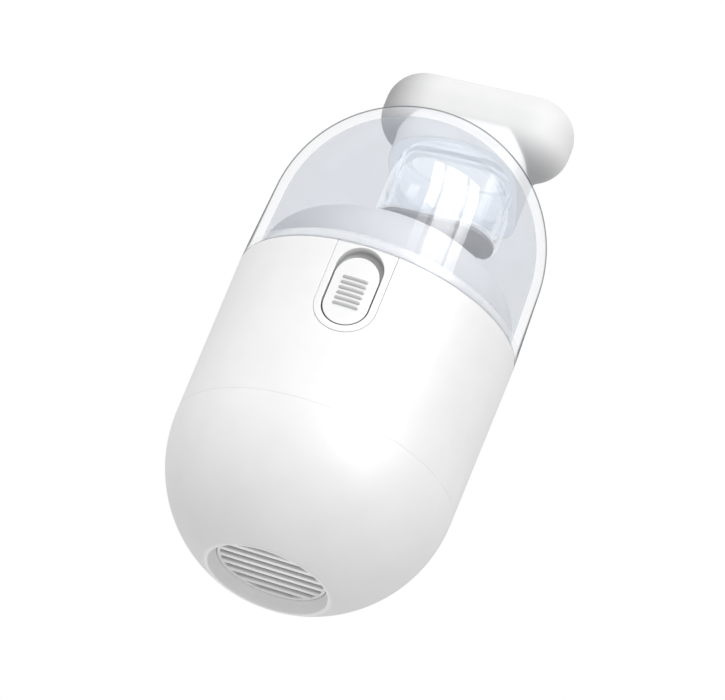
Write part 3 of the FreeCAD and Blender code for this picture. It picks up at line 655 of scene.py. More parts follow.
button = rounded(BUTTON_WIDTH, BUTTON_LENGTH, BUTTON_WIDTH / 2)
button_middle = BUTTON_LOW + BUTTON_LENGTH / 2
button_rows = [curved(outline(button, -inset), button_middle, BUTTON_FACE)
               for inset in np.linspace(BUTTON_WIDTH / 2, BUTTON_EDGE, 14)[:-1]]
button_rows += rounding(button, -1, BUTTON_EDGE, button_middle, BUTTON_FACE, 7)
button_rows += [facing(outline(button, -inset), button_middle, BUTTON_BACK)
                for inset in (0, BUTTON_WIDTH / 2)]
stem_rows = [facing(outline(STEM, -inset), button_middle, depth)
             for inset, depth in ((0, STEM_TOP), (0, STEM_END), (STEM[0] / 2, STEM_END))]
rib_middles = button_middle - RIB_DROP + RIB_PITCH * (np.arange(RIB_COUNT) - (RIB_COUNT - 1) / 2)
ribs = [skin(raised_bar(RIB, 0.0, middle, BUTTON_FACE, RIB_HEIGHT, RIB_EDGE)) for middle in rib_middles]
# Painted shade: the button's edge darkens into the gap round it, and its ribs are painted grey for their
# shading.
button_white = moulded("button_white_abs", (0.86, 0.86, 0.865), 0.40, 0.010 * MM, patch=by_radius(
    (BUTTON_FACE - 0.03 * MM, BUTTON_FACE - 0.12 * MM, GAP_PAINTED_SHADE),
    (BUTTON_FACE + 0.04 * MM, BUTTON_FACE + 0.12 * MM, RIB_PAINTED_SHADE)))
slider = piece("slide_button_cap", "switch_slider", button_white, skin(button_rows),
               skin(stem_rows), *ribs, node="slide_button")

# Slide switch behind the panel: a black nylon body and actuator, soldered to a fibre board
# under green solder mask.
nylon = moulded("black_nylon", (0.03, 0.03, 0.033), 0.40, shade=0.8)
finish_node("switch_actuator", nylon)
finish_node("switch_body", nylon)


def solder_mask():
    """Glossy green lacquer over copper tracks that show as paler lines."""
    material, where = started("solder_masked_board")
    cells = where.node("TexVoronoi", {"feature": "DISTANCE_TO_EDGE", "distance": "MANHATTAN"},
                       {"Vector": where, "Scale": 420.0})
    tracks = 1 - cells.within(0.05, 0.09)
    green = (0.02, 0.14, 0.06)
    return surfaced(material, where, {
        "Base Color": tracks.mix(rgb(*green), rgb(*green, 1.7)), "Roughness": 0.25,
        "Normal": where.bump(tracks, 0.03 * MM)})


finish_node("circuit_board", solder_mask())

# Motor. It stands upright under the deck: a zinc-plated steel can with a black nylon end cap,
# and a polished steel shaft that carries the fan.
zinc = metal("zinc_plated_can", (0.62, 0.62, 0.64), 0.32)
polished_steel = metal("polished_steel", (0.72, 0.72, 0.74), 0.16)
finish_node("motor_can", zinc)
finish_node("motor_end_cap", nylon)
finish_node("motor_shaft", polished_steel)

# Deck, spigot, fan and shroud. The deck closes the housing in white ABS and carries the soft
# seal in its groove. The fan of dark plastic runs under the shroud.
def eased_copy(name, node, body, material, width):
    """The mesh of a CAD node with its doubles merged, its flat faces joined and its hard edges
    bevelled to a width. It stands for the node."""
    mesh = bpy.data.meshes.new(name)
    work = bmesh.new()
    work.from_mesh(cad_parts[node].data)
    bmesh.ops.remove_doubles(work, verts=work.verts, dist=1e-6)
    bmesh.ops.dissolve_limit(work, angle_limit=math.radians(0.5), verts=work.verts, edges=work.edges)
    work.to_mesh(mesh)
    work.free()
    mesh.materials.append(material)
    mesh.shade_smooth()
    made = linked(name, mesh)
    edge = made.modifiers.new("broken_edges", "BEVEL")
    edge.width = width
    edge.segments = 2
    edge.limit_method = "ANGLE"
    edge.angle_limit = math.radians(35)
    edge.harden_normals = True
    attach(made, body)
    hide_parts(node)
    return made


deck_white = moulded("deck_white_abs", (0.94, 0.94, 0.94), 0.40)
fan_grey = moulded("fan_grey_plastic", (0.07, 0.075, 0.08), 0.25, shade=0.85)
eased_copy("spigot_deck_moulding", "spigot_deck", "housing", deck_white, 0.15 * MM)
finish_node("fan_shroud", deck_white)
finish_node("impeller", fan_grey)


def soft_rubber(name, colour):
    """Silicone rubber: matt, with faint dust-grey bloom and a soft mould texture."""
    material, where = started(name)
    bloom = where.noise(220.0, 5.0, 0.6)
    pits = where.noise(2600.0, 2.0)
    pale = rgb(*(c + (1 - c) * 0.07 for c in colour))
    return surfaced(material, where, {
        "Base Color": bloom.within(0.4, 0.75).mix(rgb(*colour), pale),
        "Roughness": (bloom - 0.5) * 0.25 + 0.55, "Normal": where.bump(pits, 0.01 * MM)})


seal_rubber = soft_rubber("seal_silicone", (0.88, 0.88, 0.89))
finish_node("cup_seal", seal_rubber)
finish_node("nozzle_gasket", seal_rubber)

# Filter. White non-woven cloth pressed into a dome over the fan: a rounded edge under a flatter
# crown, held by a stiff ring inside its foot.
FILTER_EDGE = 10.5 * MM
FILTER_WALL = 1.2 * MM


def filter_profile():
    """Outer and inner line of the dome. The crown's centre lies so far below the foot that its
    arc meets the edge's arc without a kink: c = (i^2 + h^2 - e^2) / (2 (h - e))."""
    low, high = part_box("filter_dome")
    radius, foot, height = high.x, low.z, high.z - low.z
    inset = radius - FILTER_EDGE
    crown = (inset**2 + height**2 - FILTER_EDGE**2) / (2 * (height - FILTER_EDGE))
    sunk = crown - height
    turn = math.degrees(math.atan2(sunk, inset))
    outer = [arc((inset, foot), FILTER_EDGE, 0, turn, 24), arc((0, foot - sunk), crown, turn, 90, 60)[1:]]
    inner = [arc((0, foot - sunk), crown - FILTER_WALL, 90, turn, 40),
             arc((inset, foot), FILTER_EDGE - FILTER_WALL, turn, 0, 16)[1:]]
    return np.concatenate(outer), np.concatenate(inner)


def felt(name, colour):
    """Non-woven filter cloth: fine tangled fibres pressed nearly smooth, with faint clouds where the fleece
    is thicker, and painted shade that greys it towards its left side."""
    material, where = started(name)
    fibres = where.noise(2400.0, 6.0, 0.75)
    clouds = where.noise(130.0, 3.0)
    base = clouds.within(0.3, 0.75).mix(rgb(*colour), rgb(*colour, 0.95))
    # Painted shade on the cloth's left side.
    base = where.axis("X").within(6.0 * MM, -20.0 * MM).mix(base, rgb(0.66, 0.665, 0.68))
    return surfaced(material, where, {
        "Base Color": base, "Roughness": 0.85, "Normal": where.bump(fibres, 0.03 * MM), "Sheen Weight": 0.2})


outer_line, inner_line = filter_profile()
cloth = piece("filter_cloth", "housing", felt("filter_felt", (0.90, 0.90, 0.90)),
              skin(turned(np.concatenate([inner_line, outer_line]))), node="filter_dome")
finish_node("filter_ring", deck_white)

# Dust cup. One clear moulding: a drafted wall under a dome, and a flat-sided inlet tube through
# the dome whose thin lip stands out of it into the nozzle.
DOME_RADIUS = 30.1 * MM
DOME_CENTRE = UPPER_SEAM + 17.3 * MM
DOME_WALL = 2.2 * MM
TUBE_BACK = 12.8 * MM        # of the tube's axis behind the capsule's
CUP_TURN = math.radians(-8.5)
TUBE = rounded(28.2 * MM, 16.3 * MM)
TUBE_WALL = 1.7 * MM
LIP_WALL = 0.9 * MM
LIP_TOP = DOME_CENTRE + DOME_RADIUS - 1.0 * MM
TUBE_LOW = LIP_TOP - 16.8 * MM
CUP_EDGE = 0.25 * MM
DOME_ROWS = 56


def at(plane, height):
    """Plan outline (x, y) about the tube's axis, raised to a height and turned about Z as the
    cup sits on the housing."""
    x, y = plane[:, 0], plane[:, 1] + TUBE_BACK
    cosine, sine = math.cos(CUP_TURN), math.sin(CUP_TURN)
    return np.stack([cosine * x - sine * y, sine * x + cosine * y, np.broadcast_to(height, len(x))], 1)


def on_dome(plane, radius):
    """Height of the dome over a plan outline: c + sqrt(r^2 - x^2 - y^2)."""
    reach = plane[:, 0]**2 + (plane[:, 1] + TUBE_BACK)**2
    return DOME_CENTRE + np.sqrt(radius**2 - reach)


def around(plane, radius):
    """Circle about the capsule's axis, its points in the same directions from it as an
    outline's from the tube's axis."""
    length = np.linalg.norm(plane, axis=1, keepdims=True)
    return plane / length * radius - (0, TUBE_BACK)


def draft(radius):
    """Angle above the horizontal at which the cup's straight wall leaves a sphere: acos(r / d)
    less the slope from the sphere's centre to the wall's foot, which lies d away."""
    below = DOME_CENTRE - UPPER_SEAM
    start = CAPSULE_RADIUS - (DOME_RADIUS - radius)
    reach = math.hypot(start, below)
    return math.acos(min(1.0, radius / reach)) - math.atan2(below, start)


def dome_rows(plane, radius):
    """Rows from an outline in the dome out to its equator, in plan (1 - w) P + w E with
    w = sin, so that they bunch where the sphere gets steep."""
    lean = draft(radius)
    rim = around(plane, radius * math.cos(lean))
    rows = []
    for q in np.linspace(0, math.pi / 2, DOME_ROWS):
        mixed = plane * (1 - math.sin(q)) + rim * math.sin(q)
        rows.append(at(mixed, on_dome(mixed, radius)))
    return rows


tube_outer = outline(TUBE)
tube_bore = outline(TUBE, -TUBE_WALL)
lip_outer = outline(TUBE, LIP_WALL - TUBE_WALL)
inner_dome = DOME_RADIUS - DOME_WALL
outer_foot = around(lip_outer, CAPSULE_RADIUS)
cup_rows = [
    *bend(at(tube_bore, TUBE_LOW + CUP_EDGE), at(tube_bore, TUBE_LOW),
          at(outline(TUBE, CUP_EDGE / 2 - TUBE_WALL), TUBE_LOW), 3),
    *[at(tube_bore, height) for height in np.linspace(TUBE_LOW + 2 * MM, LIP_TOP - 0.2 * MM, 5)],
    at(tube_bore, LIP_TOP),
    at(lip_outer, LIP_TOP),
    *dome_rows(lip_outer, DOME_RADIUS),
    *bend(at(outer_foot, UPPER_SEAM + CUP_EDGE), at(outer_foot, UPPER_SEAM),
          at(around(lip_outer, CAPSULE_RADIUS - CUP_EDGE), UPPER_SEAM)),
    at(around(tube_outer, CAPSULE_RADIUS - DOME_WALL), UPPER_SEAM),
    *dome_rows(tube_outer, inner_dome)[::-1],
    at(tube_outer, TUBE_LOW + CUP_EDGE),
    at(outline(TUBE, -CUP_EDGE / 2), TUBE_LOW),
]


def clear_plastic(name, outside, inside, rim):
    """Clear polished moulding, seen through its skins without bending what lies behind. Each skin reflects a
    share of the room that grows from face on to edge on. The dome's inner skin carries the tint and a thin
    bluish bloom, the tube's walls are milky edge on and carry a faint painted glow, and the outer skin is
    hazy over the seat and carries painted shade as a dark line at its outline and its foot."""
    material, where = started(name)
    across, depth, height = (where.axis(letter) for letter in "XYZ")
    level = where.math("MAXIMUM", height - DOME_CENTRE, 0.0)
    square = across * across + depth * depth + level * level
    outer = square.within((DOME_RADIUS - 1.4 * MM)**2, (DOME_RADIUS - 0.7 * MM)**2)
    inner = square.within((inner_dome - 1.0 * MM)**2, (inner_dome - 0.5 * MM)**2) * (1 - outer)
    tube = 1 - inner - outer
    seat = outer * height.within(UPPER_SEAM + 2.1 * MM, UPPER_SEAM + 1.8 * MM)
    foot = height.within(UPPER_SEAM + 0.35 * MM, UPPER_SEAM + 0.20 * MM)
    ripple = where.bump(where.noise(38.0, 1.0) * outer, 0.03 * MM)
    facing = where.node("LayerWeight", {}, {"Blend": 0.5, "Normal": ripple}, "Facing")
    edge_on = where.node("LayerWeight", {}, {"Blend": 0.5}, "Facing")
    wiping = where.stretched(1.0, 1.0, 0.15).noise(900.0, 4.0, 0.7)
    gloss = where.node("BsdfPrincipled", {}, {
        "Base Color": rgb(0.95, 0.96, 0.97), "Metallic": 1.0, "Normal": ripple,
        "Roughness": wiping.within(0.5, 0.85) * 0.05 + 0.02})
    # The bloom's emission on the tube walls is a painted glow.
    bloom = where.node("BsdfPrincipled", {}, {
        "Base Color": (tube + seat).mix(rgb(0.78, 0.82, 0.875), rgb(0.935, 0.95, 0.965)),
        "Roughness": 0.3, "Normal": ripple,
        "Emission Color": tube.mix(BLACK, rgb(0.30, 0.30, 0.30)), "Emission Strength": 1.0})
    # The rim tone is a painted shade, a dark see-through tone for the outline and the foot.
    clear, tinted, dark = (where.node("BsdfTransparent", {}, {"Color": rgb(*tone)})
                           for tone in (outside, inside, rim))
    skins = (inner + tube * 0.3).blend(clear, tinted)
    # Painted shade: the outer skin darkens at its outline and along its foot.
    outlined = (outer * edge_on.within(0.835, 0.915) + foot * 0.45).blend(skins, dark)
    veil = inner * 0.09 + 0.015 + seat * 0.32 + tube * (edge_on.within(0.40, 0.76) * 0.85 + 0.03)
    mirror = (facing.math("POWER", facing, 5.0) * 0.35 + 0.05) * (outer * 0.6 + 0.4)
    polish = height.within(UPPER_SEAM, DOME_CENTRE + 3.0 * MM) * 0.75 + 0.25
    return ended(material, where, (mirror * polish).blend(veil.blend(outlined, bloom), gloss))


# The rim colour is the painted shade of the cup's outline and foot.
cup_clear = clear_plastic("clear_cup_plastic", outside=(0.993, 0.9955, 1.0),
                          inside=(0.880, 0.890, 0.908), rim=(0.27, 0.28, 0.30))
cup = piece("dust_cup_clear", "cup", cup_clear, skin(cup_rows, ring=True), node="dust_cup", sharp=50)

# Inlet flap. A grey silicone leaf that hangs on a steel pin between two ears of the tube and
# closes the tube's lower end by itself.
EAR_WIDTH = 1.6 * MM
EYE_RADIUS = 1.6 * MM
PIN_LENGTH = 15.0 * MM
PIN_RADIUS = 0.8 * MM
FLAP_LAP = 1.0 * MM          # how far the leaf laps over the tube's wall
FLAP_THICKNESS = 1.0 * MM
FLAP_EDGE = 0.3 * MM
HINGE_BACK = TUBE[1] / 2 - PIN_RADIUS / 2
HINGE_GAP = 0.15 * MM
HINGE_HEIGHT = TUBE_LOW - EYE_RADIUS - HINGE_GAP
HINGE_PLAY = 0.3 * MM        # between the barrel and the ears, and behind the leaf
EAR_LAP = 1.0 * MM
LEAF_INSET = TUBE_WALL - FLAP_LAP
LEAF_TOP = TUBE_LOW - HINGE_GAP
LEAF_LOW = LEAF_TOP - FLAP_THICKNESS
DISH_INSET = 2.0 * MM        # a shallow dish in the leaf's underside
DISH_SLOPE = 0.6 * MM
DISH_FLOOR = LEAF_LOW + 0.25 * MM


def along_x(section, first, last):
    """A section (y, z) about the hinge line, drawn out along X from first to last, with both
    ends closed at the section's middle."""
    middle = section.mean(0)
    rows = [(first, middle + 0 * section), (first, section), (last, section), (last, middle + 0 * section)]
    return [at(np.stack([x + 0 * points[:, 0], points[:, 0] + HINGE_BACK], 1), points[:, 1] + HINGE_HEIGHT)
            for x, points in rows]


def ear_section():
    """A round eye about the pin with straight sides up to the tube's end."""
    eye = arc((0, 0), EYE_RADIUS, 180, 360, 25)
    rise = TUBE_LOW + EAR_LAP - HINGE_HEIGHT
    return np.concatenate([eye, [(EYE_RADIUS, rise), (-EYE_RADIUS, rise)]])


ears = []
for side in (-1, 1):
    middle = side * (PIN_LENGTH - EAR_WIDTH) / 2
    ears.append(skin(along_x(ear_section(), middle - EAR_WIDTH / 2, middle + EAR_WIDTH / 2)))
piece("flap_hinge_ears", "cup", cup_clear, *ears)
finish_node("flap_pin", polished_steel)


def leaf_row(inset, height):
    """Outline of the leaf, moved inwards and cut off straight before the hinge's barrel."""
    plane = outline(TUBE, -LEAF_INSET - inset)
    plane[:, 1] = np.minimum(plane[:, 1], HINGE_BACK - EYE_RADIUS - HINGE_PLAY - inset)
    return at(plane, height)


leaf_core = TUBE[1] / 2 - LEAF_INSET - 0.01 * MM
leaf_rows = [
    leaf_row(leaf_core, DISH_FLOOR),
    leaf_row(DISH_INSET + DISH_SLOPE, DISH_FLOOR),
    leaf_row(DISH_INSET, LEAF_LOW),
    *bend(leaf_row(FLAP_EDGE, LEAF_LOW), leaf_row(0, LEAF_LOW), leaf_row(0, LEAF_LOW + FLAP_EDGE), 4),
    *bend(leaf_row(0, LEAF_TOP - FLAP_EDGE), leaf_row(0, LEAF_TOP), leaf_row(FLAP_EDGE, LEAF_TOP), 4),
    leaf_row(DISH_INSET, LEAF_TOP),
    leaf_row(leaf_core, LEAF_TOP - 0.1 * MM),
]
barrel_half = PIN_LENGTH / 2 - EAR_WIDTH - HINGE_PLAY
barrel = along_x(arc((0, 0), EYE_RADIUS - 0.05 * MM, 0, 360, 33)[:-1], -barrel_half, barrel_half)
web_section = np.array([(y, z - HINGE_HEIGHT) for y, z in ((-2 * EYE_RADIUS, LEAF_LOW), (0, LEAF_LOW),
                                                           (0, LEAF_TOP), (-2 * EYE_RADIUS, LEAF_TOP))])
web = along_x(web_section, -barrel_half, barrel_half)
flap_rubber = soft_rubber("flap_silicone", (0.36, 0.36, 0.37))
flap = piece("inlet_flap_leaf", "flap", flap_rubber, skin(leaf_rows), skin(barrel), skin(web),
             node="inlet_flap")

# Nozzle. A wide head rounded all over, on a neck whose foot follows the dome. The mouth on its
# top narrows into the duct, which ends in a plug inside the clear tube.
HEAD = (42.5 * MM, 18.4 * MM)
HEAD_LOW = LIP_TOP + 0.7 * MM
HEAD_HIGH = HEAD_LOW + 17.6 * MM
HEAD_ROUND = 7.8 * MM
UNDER_ROWS = 22              # of the head's mesh below its outline, and above it
OVER_ROWS = 26
NECK = rounded(29.6 * MM, 17.6 * MM, 5.4 * MM)
NECK_FILLET = 1.1 * MM
MOUTH_DEPTH = 11.0 * MM
MOUTH_EDGE = 0.5 * MM
FIT = 0.15 * MM
PLUG_INSET = TUBE_WALL + FIT
PLUG_LOW = LIP_TOP - 2.4 * MM
PLUG_WALL = 1.6 * MM
DUCT_INSET = PLUG_INSET + PLUG_WALL
DUCT_WIDTH = TUBE[1] - 2 * DUCT_INSET
MOUTH = rounded(31.0 * MM, DUCT_WIDTH)
# Painted shade on the head's underside and left end, painted light on the neck and the plug.
UNDER_PAINTED_SHADE = rgb(0.44, 0.44, 0.445)
LEFT_PAINTED_SHADE = rgb(0.34, 0.34, 0.345)
NECK_PAINTED_LIGHT = rgb(0.90, 0.90, 0.905)
LIP_PAINTED_GLOW = rgb(0.32, 0.331, 0.342)


def head_inset(plane):
    """How far inside the head's outline a plan point lies: its half width less its distance
    from the line between the centres of the two round ends."""
    half = (HEAD[0] - HEAD[1]) / 2
    past = np.abs(plane[:, 0]) - half
    return HEAD[1] / 2 - np.hypot(np.maximum(past, 0), plane[:, 1])


def head_rise(plane):
    """How far the head's surface lies from its flat at a plan point near the rounded edge:
    r - sqrt(r^2 - (r - inset)^2)."""
    short = np.clip(HEAD_ROUND - head_inset(plane), 0, HEAD_ROUND)
    return HEAD_ROUND - np.sqrt(HEAD_ROUND**2 - short**2)


def under_head(plane):
    """Plan points laid on the head's underside."""
    return at(plane, HEAD_LOW + head_rise(plane))


def over_head(plane):
    """Plan points laid on the head's top."""
    return at(plane, HEAD_HIGH - head_rise(plane))


neck_plane = outline(NECK)
head_plane = outline(rounded(HEAD[0], HEAD[1] - 1e-6))
mouth_plane = outline(MOUTH)
mouth_lip = outline(MOUTH, MOUTH_EDGE)
duct_plane = outline(TUBE, -DUCT_INSET)
plug_plane = outline(TUBE, -PLUG_INSET)
groove_plane = outline(TUBE, LIP_WALL + FIT - TUBE_WALL)
foot_radius = DOME_RADIUS + FIT
neck_foot = at(neck_plane, on_dome(neck_plane, foot_radius) + FIT)
foot_inside = outline(NECK, -FIT)
neck_head = under_head(neck_plane)
reach = np.linalg.norm(head_plane - neck_plane, axis=1, keepdims=True)
spread = np.minimum(NECK_FILLET / reach, 0.7)
below_crease = neck_head - (0, 0, NECK_FILLET)
beyond_crease = under_head(neck_plane * (1 - spread) + head_plane * spread)
nozzle_rows = [
    at(duct_plane, PLUG_LOW),
    at(outline(TUBE, -PLUG_INSET - FIT / 2), PLUG_LOW),
    at(plug_plane, PLUG_LOW + FIT),
    *[at(plug_plane, height) for height in np.linspace(PLUG_LOW + 2 * FIT, LIP_TOP + FIT, 3)],
    at(groove_plane, LIP_TOP + FIT),
    at(groove_plane, on_dome(groove_plane, foot_radius)),
    at(foot_inside, on_dome(foot_inside, foot_radius)),
    *[neck_foot * (1 - t) + below_crease * t for t in np.linspace(0, 1, 14)],
    *bend(below_crease, neck_head, beyond_crease, 7)[1:],
]
for q in np.linspace(0, math.pi / 2, UNDER_ROWS)[1:]:
    share = spread + (1 - spread) * math.sin(q)
    nozzle_rows.append(under_head(neck_plane * (1 - share) + head_plane * share))
for q in np.linspace(0, math.pi / 2, OVER_ROWS):
    share = 1 - math.cos(q)
    nozzle_rows.append(over_head(head_plane * (1 - share) + mouth_lip * share))
mouth_rim = at(mouth_plane, over_head(mouth_plane)[:, 2])
nozzle_rows += bend(over_head(mouth_lip), mouth_rim, mouth_rim - (0, 0, MOUTH_EDGE), 5)[1:]
nozzle_rows += [at(mouth_plane, HEAD_HIGH - MOUTH_DEPTH), at(duct_plane, HEAD_HIGH - MOUTH_DEPTH)]


def neck_prism(where, low, high):
    """1 in the upright prism of the neck's outline, below the mouth, and 0 outside. Its plan
    is where hypot(max(|x| - a, 0), max(|y| - b, 0)) stays under the corner radius, faded from
    low to high margins round it."""
    length, width, corner = NECK[:3]
    local = where.node("Mapping", {}, {"Vector": where, "Rotation": (0, 0, -CUP_TURN),
                                       "Location": (0, -TUBE_BACK, 0)})
    past = [local.math("MAXIMUM", local.math("ABSOLUTE", local.axis(letter)) - (size / 2 - corner), 0.0)
            for letter, size in (("X", length), ("Y", width))]
    square = past[0] * past[0] + past[1] * past[1]
    floor = HEAD_HIGH - MOUTH_DEPTH
    below = where.axis("Z").within(floor - 0.2 * MM, floor - 0.6 * MM)
    return square.within((corner + high)**2, (corner + low)**2) * below


def nozzle_painted_shade_and_light(where, base):
    """Painted shade and light: the head greys towards its underside and its left end, and the neck and the
    plug are painted a whiter tone."""
    under = where.axis("Z").within(HEAD_LOW + 7.0 * MM, HEAD_LOW)
    left = where.axis("X").within(-6.5 * MM, -21.0 * MM)
    head = left.mix(under.mix(base, UNDER_PAINTED_SHADE), LEFT_PAINTED_SHADE)
    return neck_prism(where, 0.05 * MM, 0.30 * MM).mix(head, NECK_PAINTED_LIGHT)


def painted_lip_glow(where):
    """Painted glow, standing for daylight that the clear tube's lip carries up between the neck and the
    plug.
    """
    return neck_prism(where, -0.15 * MM, -0.05 * MM).mix(BLACK, LIP_PAINTED_GLOW)


# The nozzle's colour carries painted shade and light, and its glow is painted light.
nozzle_white = moulded("nozzle_white_abs", (0.78, 0.78, 0.78), 0.64, shine=0.25, patch=nozzle_painted_shade_and_light,
                       glow=painted_lip_glow)
nozzle = piece("nozzle_shell", "nozzle", nozzle_white, skin(nozzle_rows, ring=True),
               node="nozzle_body", sharp=50)

# Brush strips. Nylon bristles along the mouth's two long walls, their roots in a holder bar
# and their tips just below the mouth's edge.
BRUSH_LENGTH = 20.0 * MM
BRUSH_DEPTH = 6.0 * MM
BRUSH_LOW = HEAD_HIGH - 1.2 * MM - BRUSH_DEPTH
BRUSH_THICKNESS = 0.9 * MM
BRUSH_ACROSS = (DUCT_WIDTH - BRUSH_THICKNESS) / 2
BRISTLE_RADIUS = 0.09 * MM
BRISTLE_PITCH = 0.36 * MM
BRISTLE_ROW = 0.26 * MM      # between two of the three rows of a strip
BRISTLE_LEAN = 0.14 * MM
BRISTLE_JITTER = 0.04 * MM
BRISTLE_WEAR = 0.25 * MM     # by which some are shorter
BAR_HEIGHT = 1.4 * MM
bristle_nylon = moulded("bristle_nylon", (0.62, 0.62, 0.63), 0.35, shade=0.85)


def strip_rows(side):
    """Tapered three-sided bristles on a grid, each leaning by a small seeded amount, as one
    pair of mesh arrays."""
    chance = np.random.RandomState(7 + side)
    count = int(BRUSH_LENGTH / BRISTLE_PITCH) - 1
    along = (np.arange(count) - (count - 1) / 2) * BRISTLE_PITCH
    spots = np.array([(x, side * BRUSH_ACROSS + row * BRISTLE_ROW) for row in (-1, 0, 1) for x in along])
    spots += chance.uniform(-BRISTLE_JITTER, BRISTLE_JITTER, spots.shape)
    lean = chance.uniform(-BRISTLE_LEAN, BRISTLE_LEAN, spots.shape)
    corners = arc((0, 0), BRISTLE_RADIUS, 90, 450, 4)[:-1]
    tips = BRUSH_LOW + BRUSH_DEPTH - chance.uniform(0.0, BRISTLE_WEAR, len(spots))
    root = np.concatenate([spots[:, None] + corners, np.full((len(spots), 3, 1), BRUSH_LOW)], 2)
    height = np.repeat(tips[:, None], 3, 1)[..., None]
    end = np.concatenate([(spots + lean)[:, None] + corners * 0.5, height], 2)
    points = np.concatenate([root, end], 1).reshape(-1, 3)
    first = np.arange(len(spots))[:, None] * 6
    faces = [first + (i, (i + 1) % 3, 3 + (i + 1) % 3, 3 + i) for i in range(3)]
    return at(points, points[:, 2]), np.concatenate(faces).tolist()


for side, node in ((-1, "brush_front"), (1, "brush_back")):
    bristles = strip_rows(side)
    bar_plane = outline(rounded(BRUSH_LENGTH, BRUSH_THICKNESS, 0.2 * MM)) + (0, side * BRUSH_ACROSS)
    core = bar_plane * 0 + bar_plane.mean(0)
    bar_high = BRUSH_LOW + BAR_HEIGHT
    bar_rows = [at(core, BRUSH_LOW), at(bar_plane, BRUSH_LOW), at(bar_plane, bar_high), at(core, bar_high)]
    strip = piece(node + "_bristles", "nozzle", bristle_nylon, bristles, skin(bar_rows), node=node)

# Studio: a pale floor that shows only from above, a white surround, soft boxes and a long lens
# at the height and tilt from which the underside is seen.
FLOOR_HALF = 3.0


def flat_card(name, points, faces, material, unseen):
    """A flat mesh of the studio, hidden from the named kinds of ray."""
    mesh = bpy.data.meshes.new(name)
    mesh.from_pydata(points, [], faces)
    mesh.materials.append(material)
    card = linked(name, mesh)
    for kind in unseen:
        setattr(card, "visible_" + kind, False)
    return card


def studio_paper():
    """Pale paper whose underside lets the camera through."""
    material, where = started("studio_paper")
    grain = where.noise(600.0, 4.0)
    paper = where.node("BsdfPrincipled", {}, {
        "Base Color": grain.mix(rgb(0.86, 0.86, 0.86), rgb(0.88, 0.88, 0.88)), "Roughness": 0.8})
    underside = where.node("NewGeometry", {}, {}, "Backfacing")
    return ended(material, where, underside.blend(paper, where.node("BsdfTransparent")))


floor_corners = [(FLOOR_HALF * x, FLOOR_HALF * y, 0) for x, y in ((-1, -1), (1, -1), (1, 1), (-1, 1))]
floor = flat_card("studio_floor", floor_corners, [(0, 1, 2, 3)], studio_paper(),
                  ("shadow", "diffuse", "glossy", "transmission"))

LENS = 595.9                 # millimetres, on a sensor 36 wide
SENSOR = 36.0
FRAME_WIDTH = 725            # pixels
PIXELS_PER_MM = 4.7605
AZIMUTH = math.radians(13.0)
TILT = math.radians(25.24)   # of the view from below
ROLL = math.radians(22.45)
AIM = np.array([0, 0, 56.17 * MM])
AIM_OFFSET = np.array([1.97, 4.26]) / PIXELS_PER_MM * MM   # pixels to the right and above

level = np.array([math.cos(AZIMUTH), math.sin(AZIMUTH), 0])
rise = np.array([math.sin(AZIMUTH) * math.sin(TILT), -math.cos(AZIMUTH) * math.sin(TILT), math.cos(TILT)])
towards = np.cross(level, rise)
right = level * math.cos(ROLL) + rise * math.sin(ROLL)
above = rise * math.cos(ROLL) - level * math.sin(ROLL)
axes = np.stack([right, above, towards])
distance = LENS / SENSOR * FRAME_WIDTH / PIXELS_PER_MM * MM
place = AIM + (*AIM_OFFSET, distance) @ axes
camera_data = bpy.data.cameras.new("camera")
camera_data.lens = LENS
camera_data.sensor_width = SENSOR
camera = linked("camera", camera_data)
camera.matrix_world = Matrix([*np.stack([*axes, place], 1).tolist(), [0, 0, 0, 1]])
scene.camera = camera


def soft_box(name, offset, size, power):
    """Square area light at an offset (right, above, towards the camera) from the object, in
    metres, turned to face it."""
    light = bpy.data.lights.new(name, "AREA")
    light.size = size
    light.energy = power
    holder = linked(name, light)
    spot = AIM + offset @ axes
    aim = Vector((AIM - spot).tolist()).to_track_quat("-Z", "Y")
    holder.matrix_world = Matrix.Translation(spot.tolist()) @ aim.to_matrix().to_4x4()
    holder.visible_glossy = False


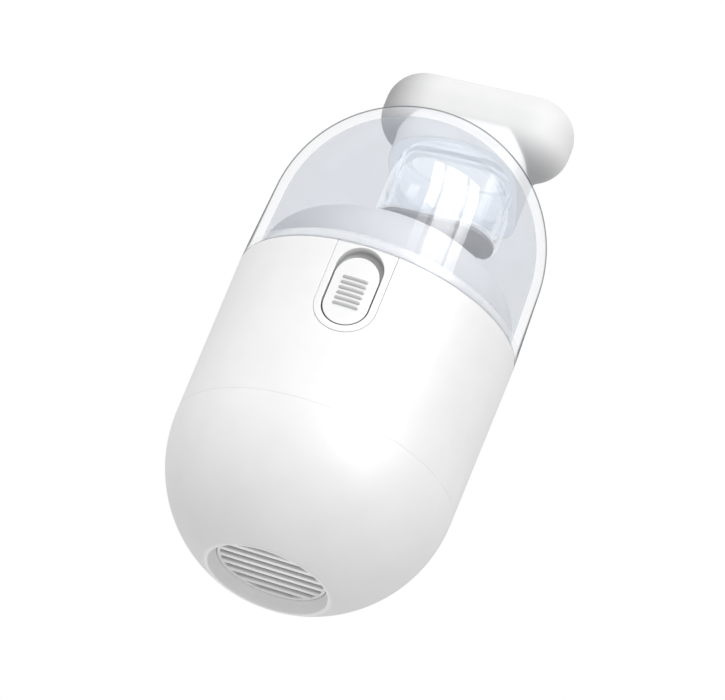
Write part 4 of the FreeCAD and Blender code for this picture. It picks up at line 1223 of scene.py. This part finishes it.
soft_box("key_soft_box", (0.45, 0.60, 0.85), size=0.8, power=4.4)
soft_box("top_soft_box", (-0.15, 1.0, 0.35), size=0.6, power=1.8)


def window_card(centre, across, upwards, panes, strength):
    """Bright window that only reflections show. Its middle and the spans of its width and its
    height are given in metres along the camera's right, above and towards axes. A pane is a
    (left, right, bottom, top) share of the window, from 0 to 1."""
    material, where = started("window_light")
    ended(material, where, where.node("Emission", {}, {"Color": WHITE, "Strength": strength}))
    points = []
    for first, last, low, high in panes:
        for u, v in ((first, low), (last, low), (last, high), (first, high)):
            offset = np.array(centre) + np.array(across) * (u - 0.5) + np.array(upwards) * (v - 0.5)
            points.append(tuple(AIM + offset @ axes))
    faces = [tuple(range(i, i + 4)) for i in range(0, len(points), 4)]
    return flat_card("window_card", points, faces, material,
                     ("camera", "diffuse", "transmission", "shadow"))


window_card(centre=(0.51, 0.467, 0.512), across=(0.459, -0.365, -0.095),
                     upwards=(0.18, 0.82, -0.72), strength=10.0,
                     panes=((0.0, 0.21, 0.55, 1.0), (0.27, 0.70, 0.0, 1.0), (0.77, 1.0, 0.0, 1.0)))
window_card(centre=(-0.353, -0.856, -0.764), across=(0.469, -0.142, 0.102),
                     upwards=(-0.166, -0.274, 0.384), strength=3.2, panes=((0.0, 1.0, 0.0, 1.0),))

world = bpy.data.worlds.new("white_studio")
world.use_nodes = True
world.node_tree.nodes.clear()
sky = Signal(world.node_tree)
seen = sky.node("LightPath", {}, {}, "Is Camera Ray")
height = sky.node("TexCoord", {}, {}, "Generated").axis("Z")
strength = height.within(-1.0, 0.9) * 0.17 + 0.66
surround = sky.node("Background", {}, {"Color": WHITE, "Strength": strength})
backdrop = sky.node("Background", {}, {"Color": WHITE, "Strength": 1.0})
sky.node("OutputWorld", {}, {"Surface": seen.blend(surround, backdrop)})
scene.world = world
scene.view_settings.view_transform = "Standard"
cycles = scene.cycles
cycles.max_bounces = 24
cycles.transmission_bounces = 20
cycles.glossy_bounces = 8
cycles.transparent_max_bounces = 32
cycles.diffuse_bounces = 5
cycles.use_denoising = True
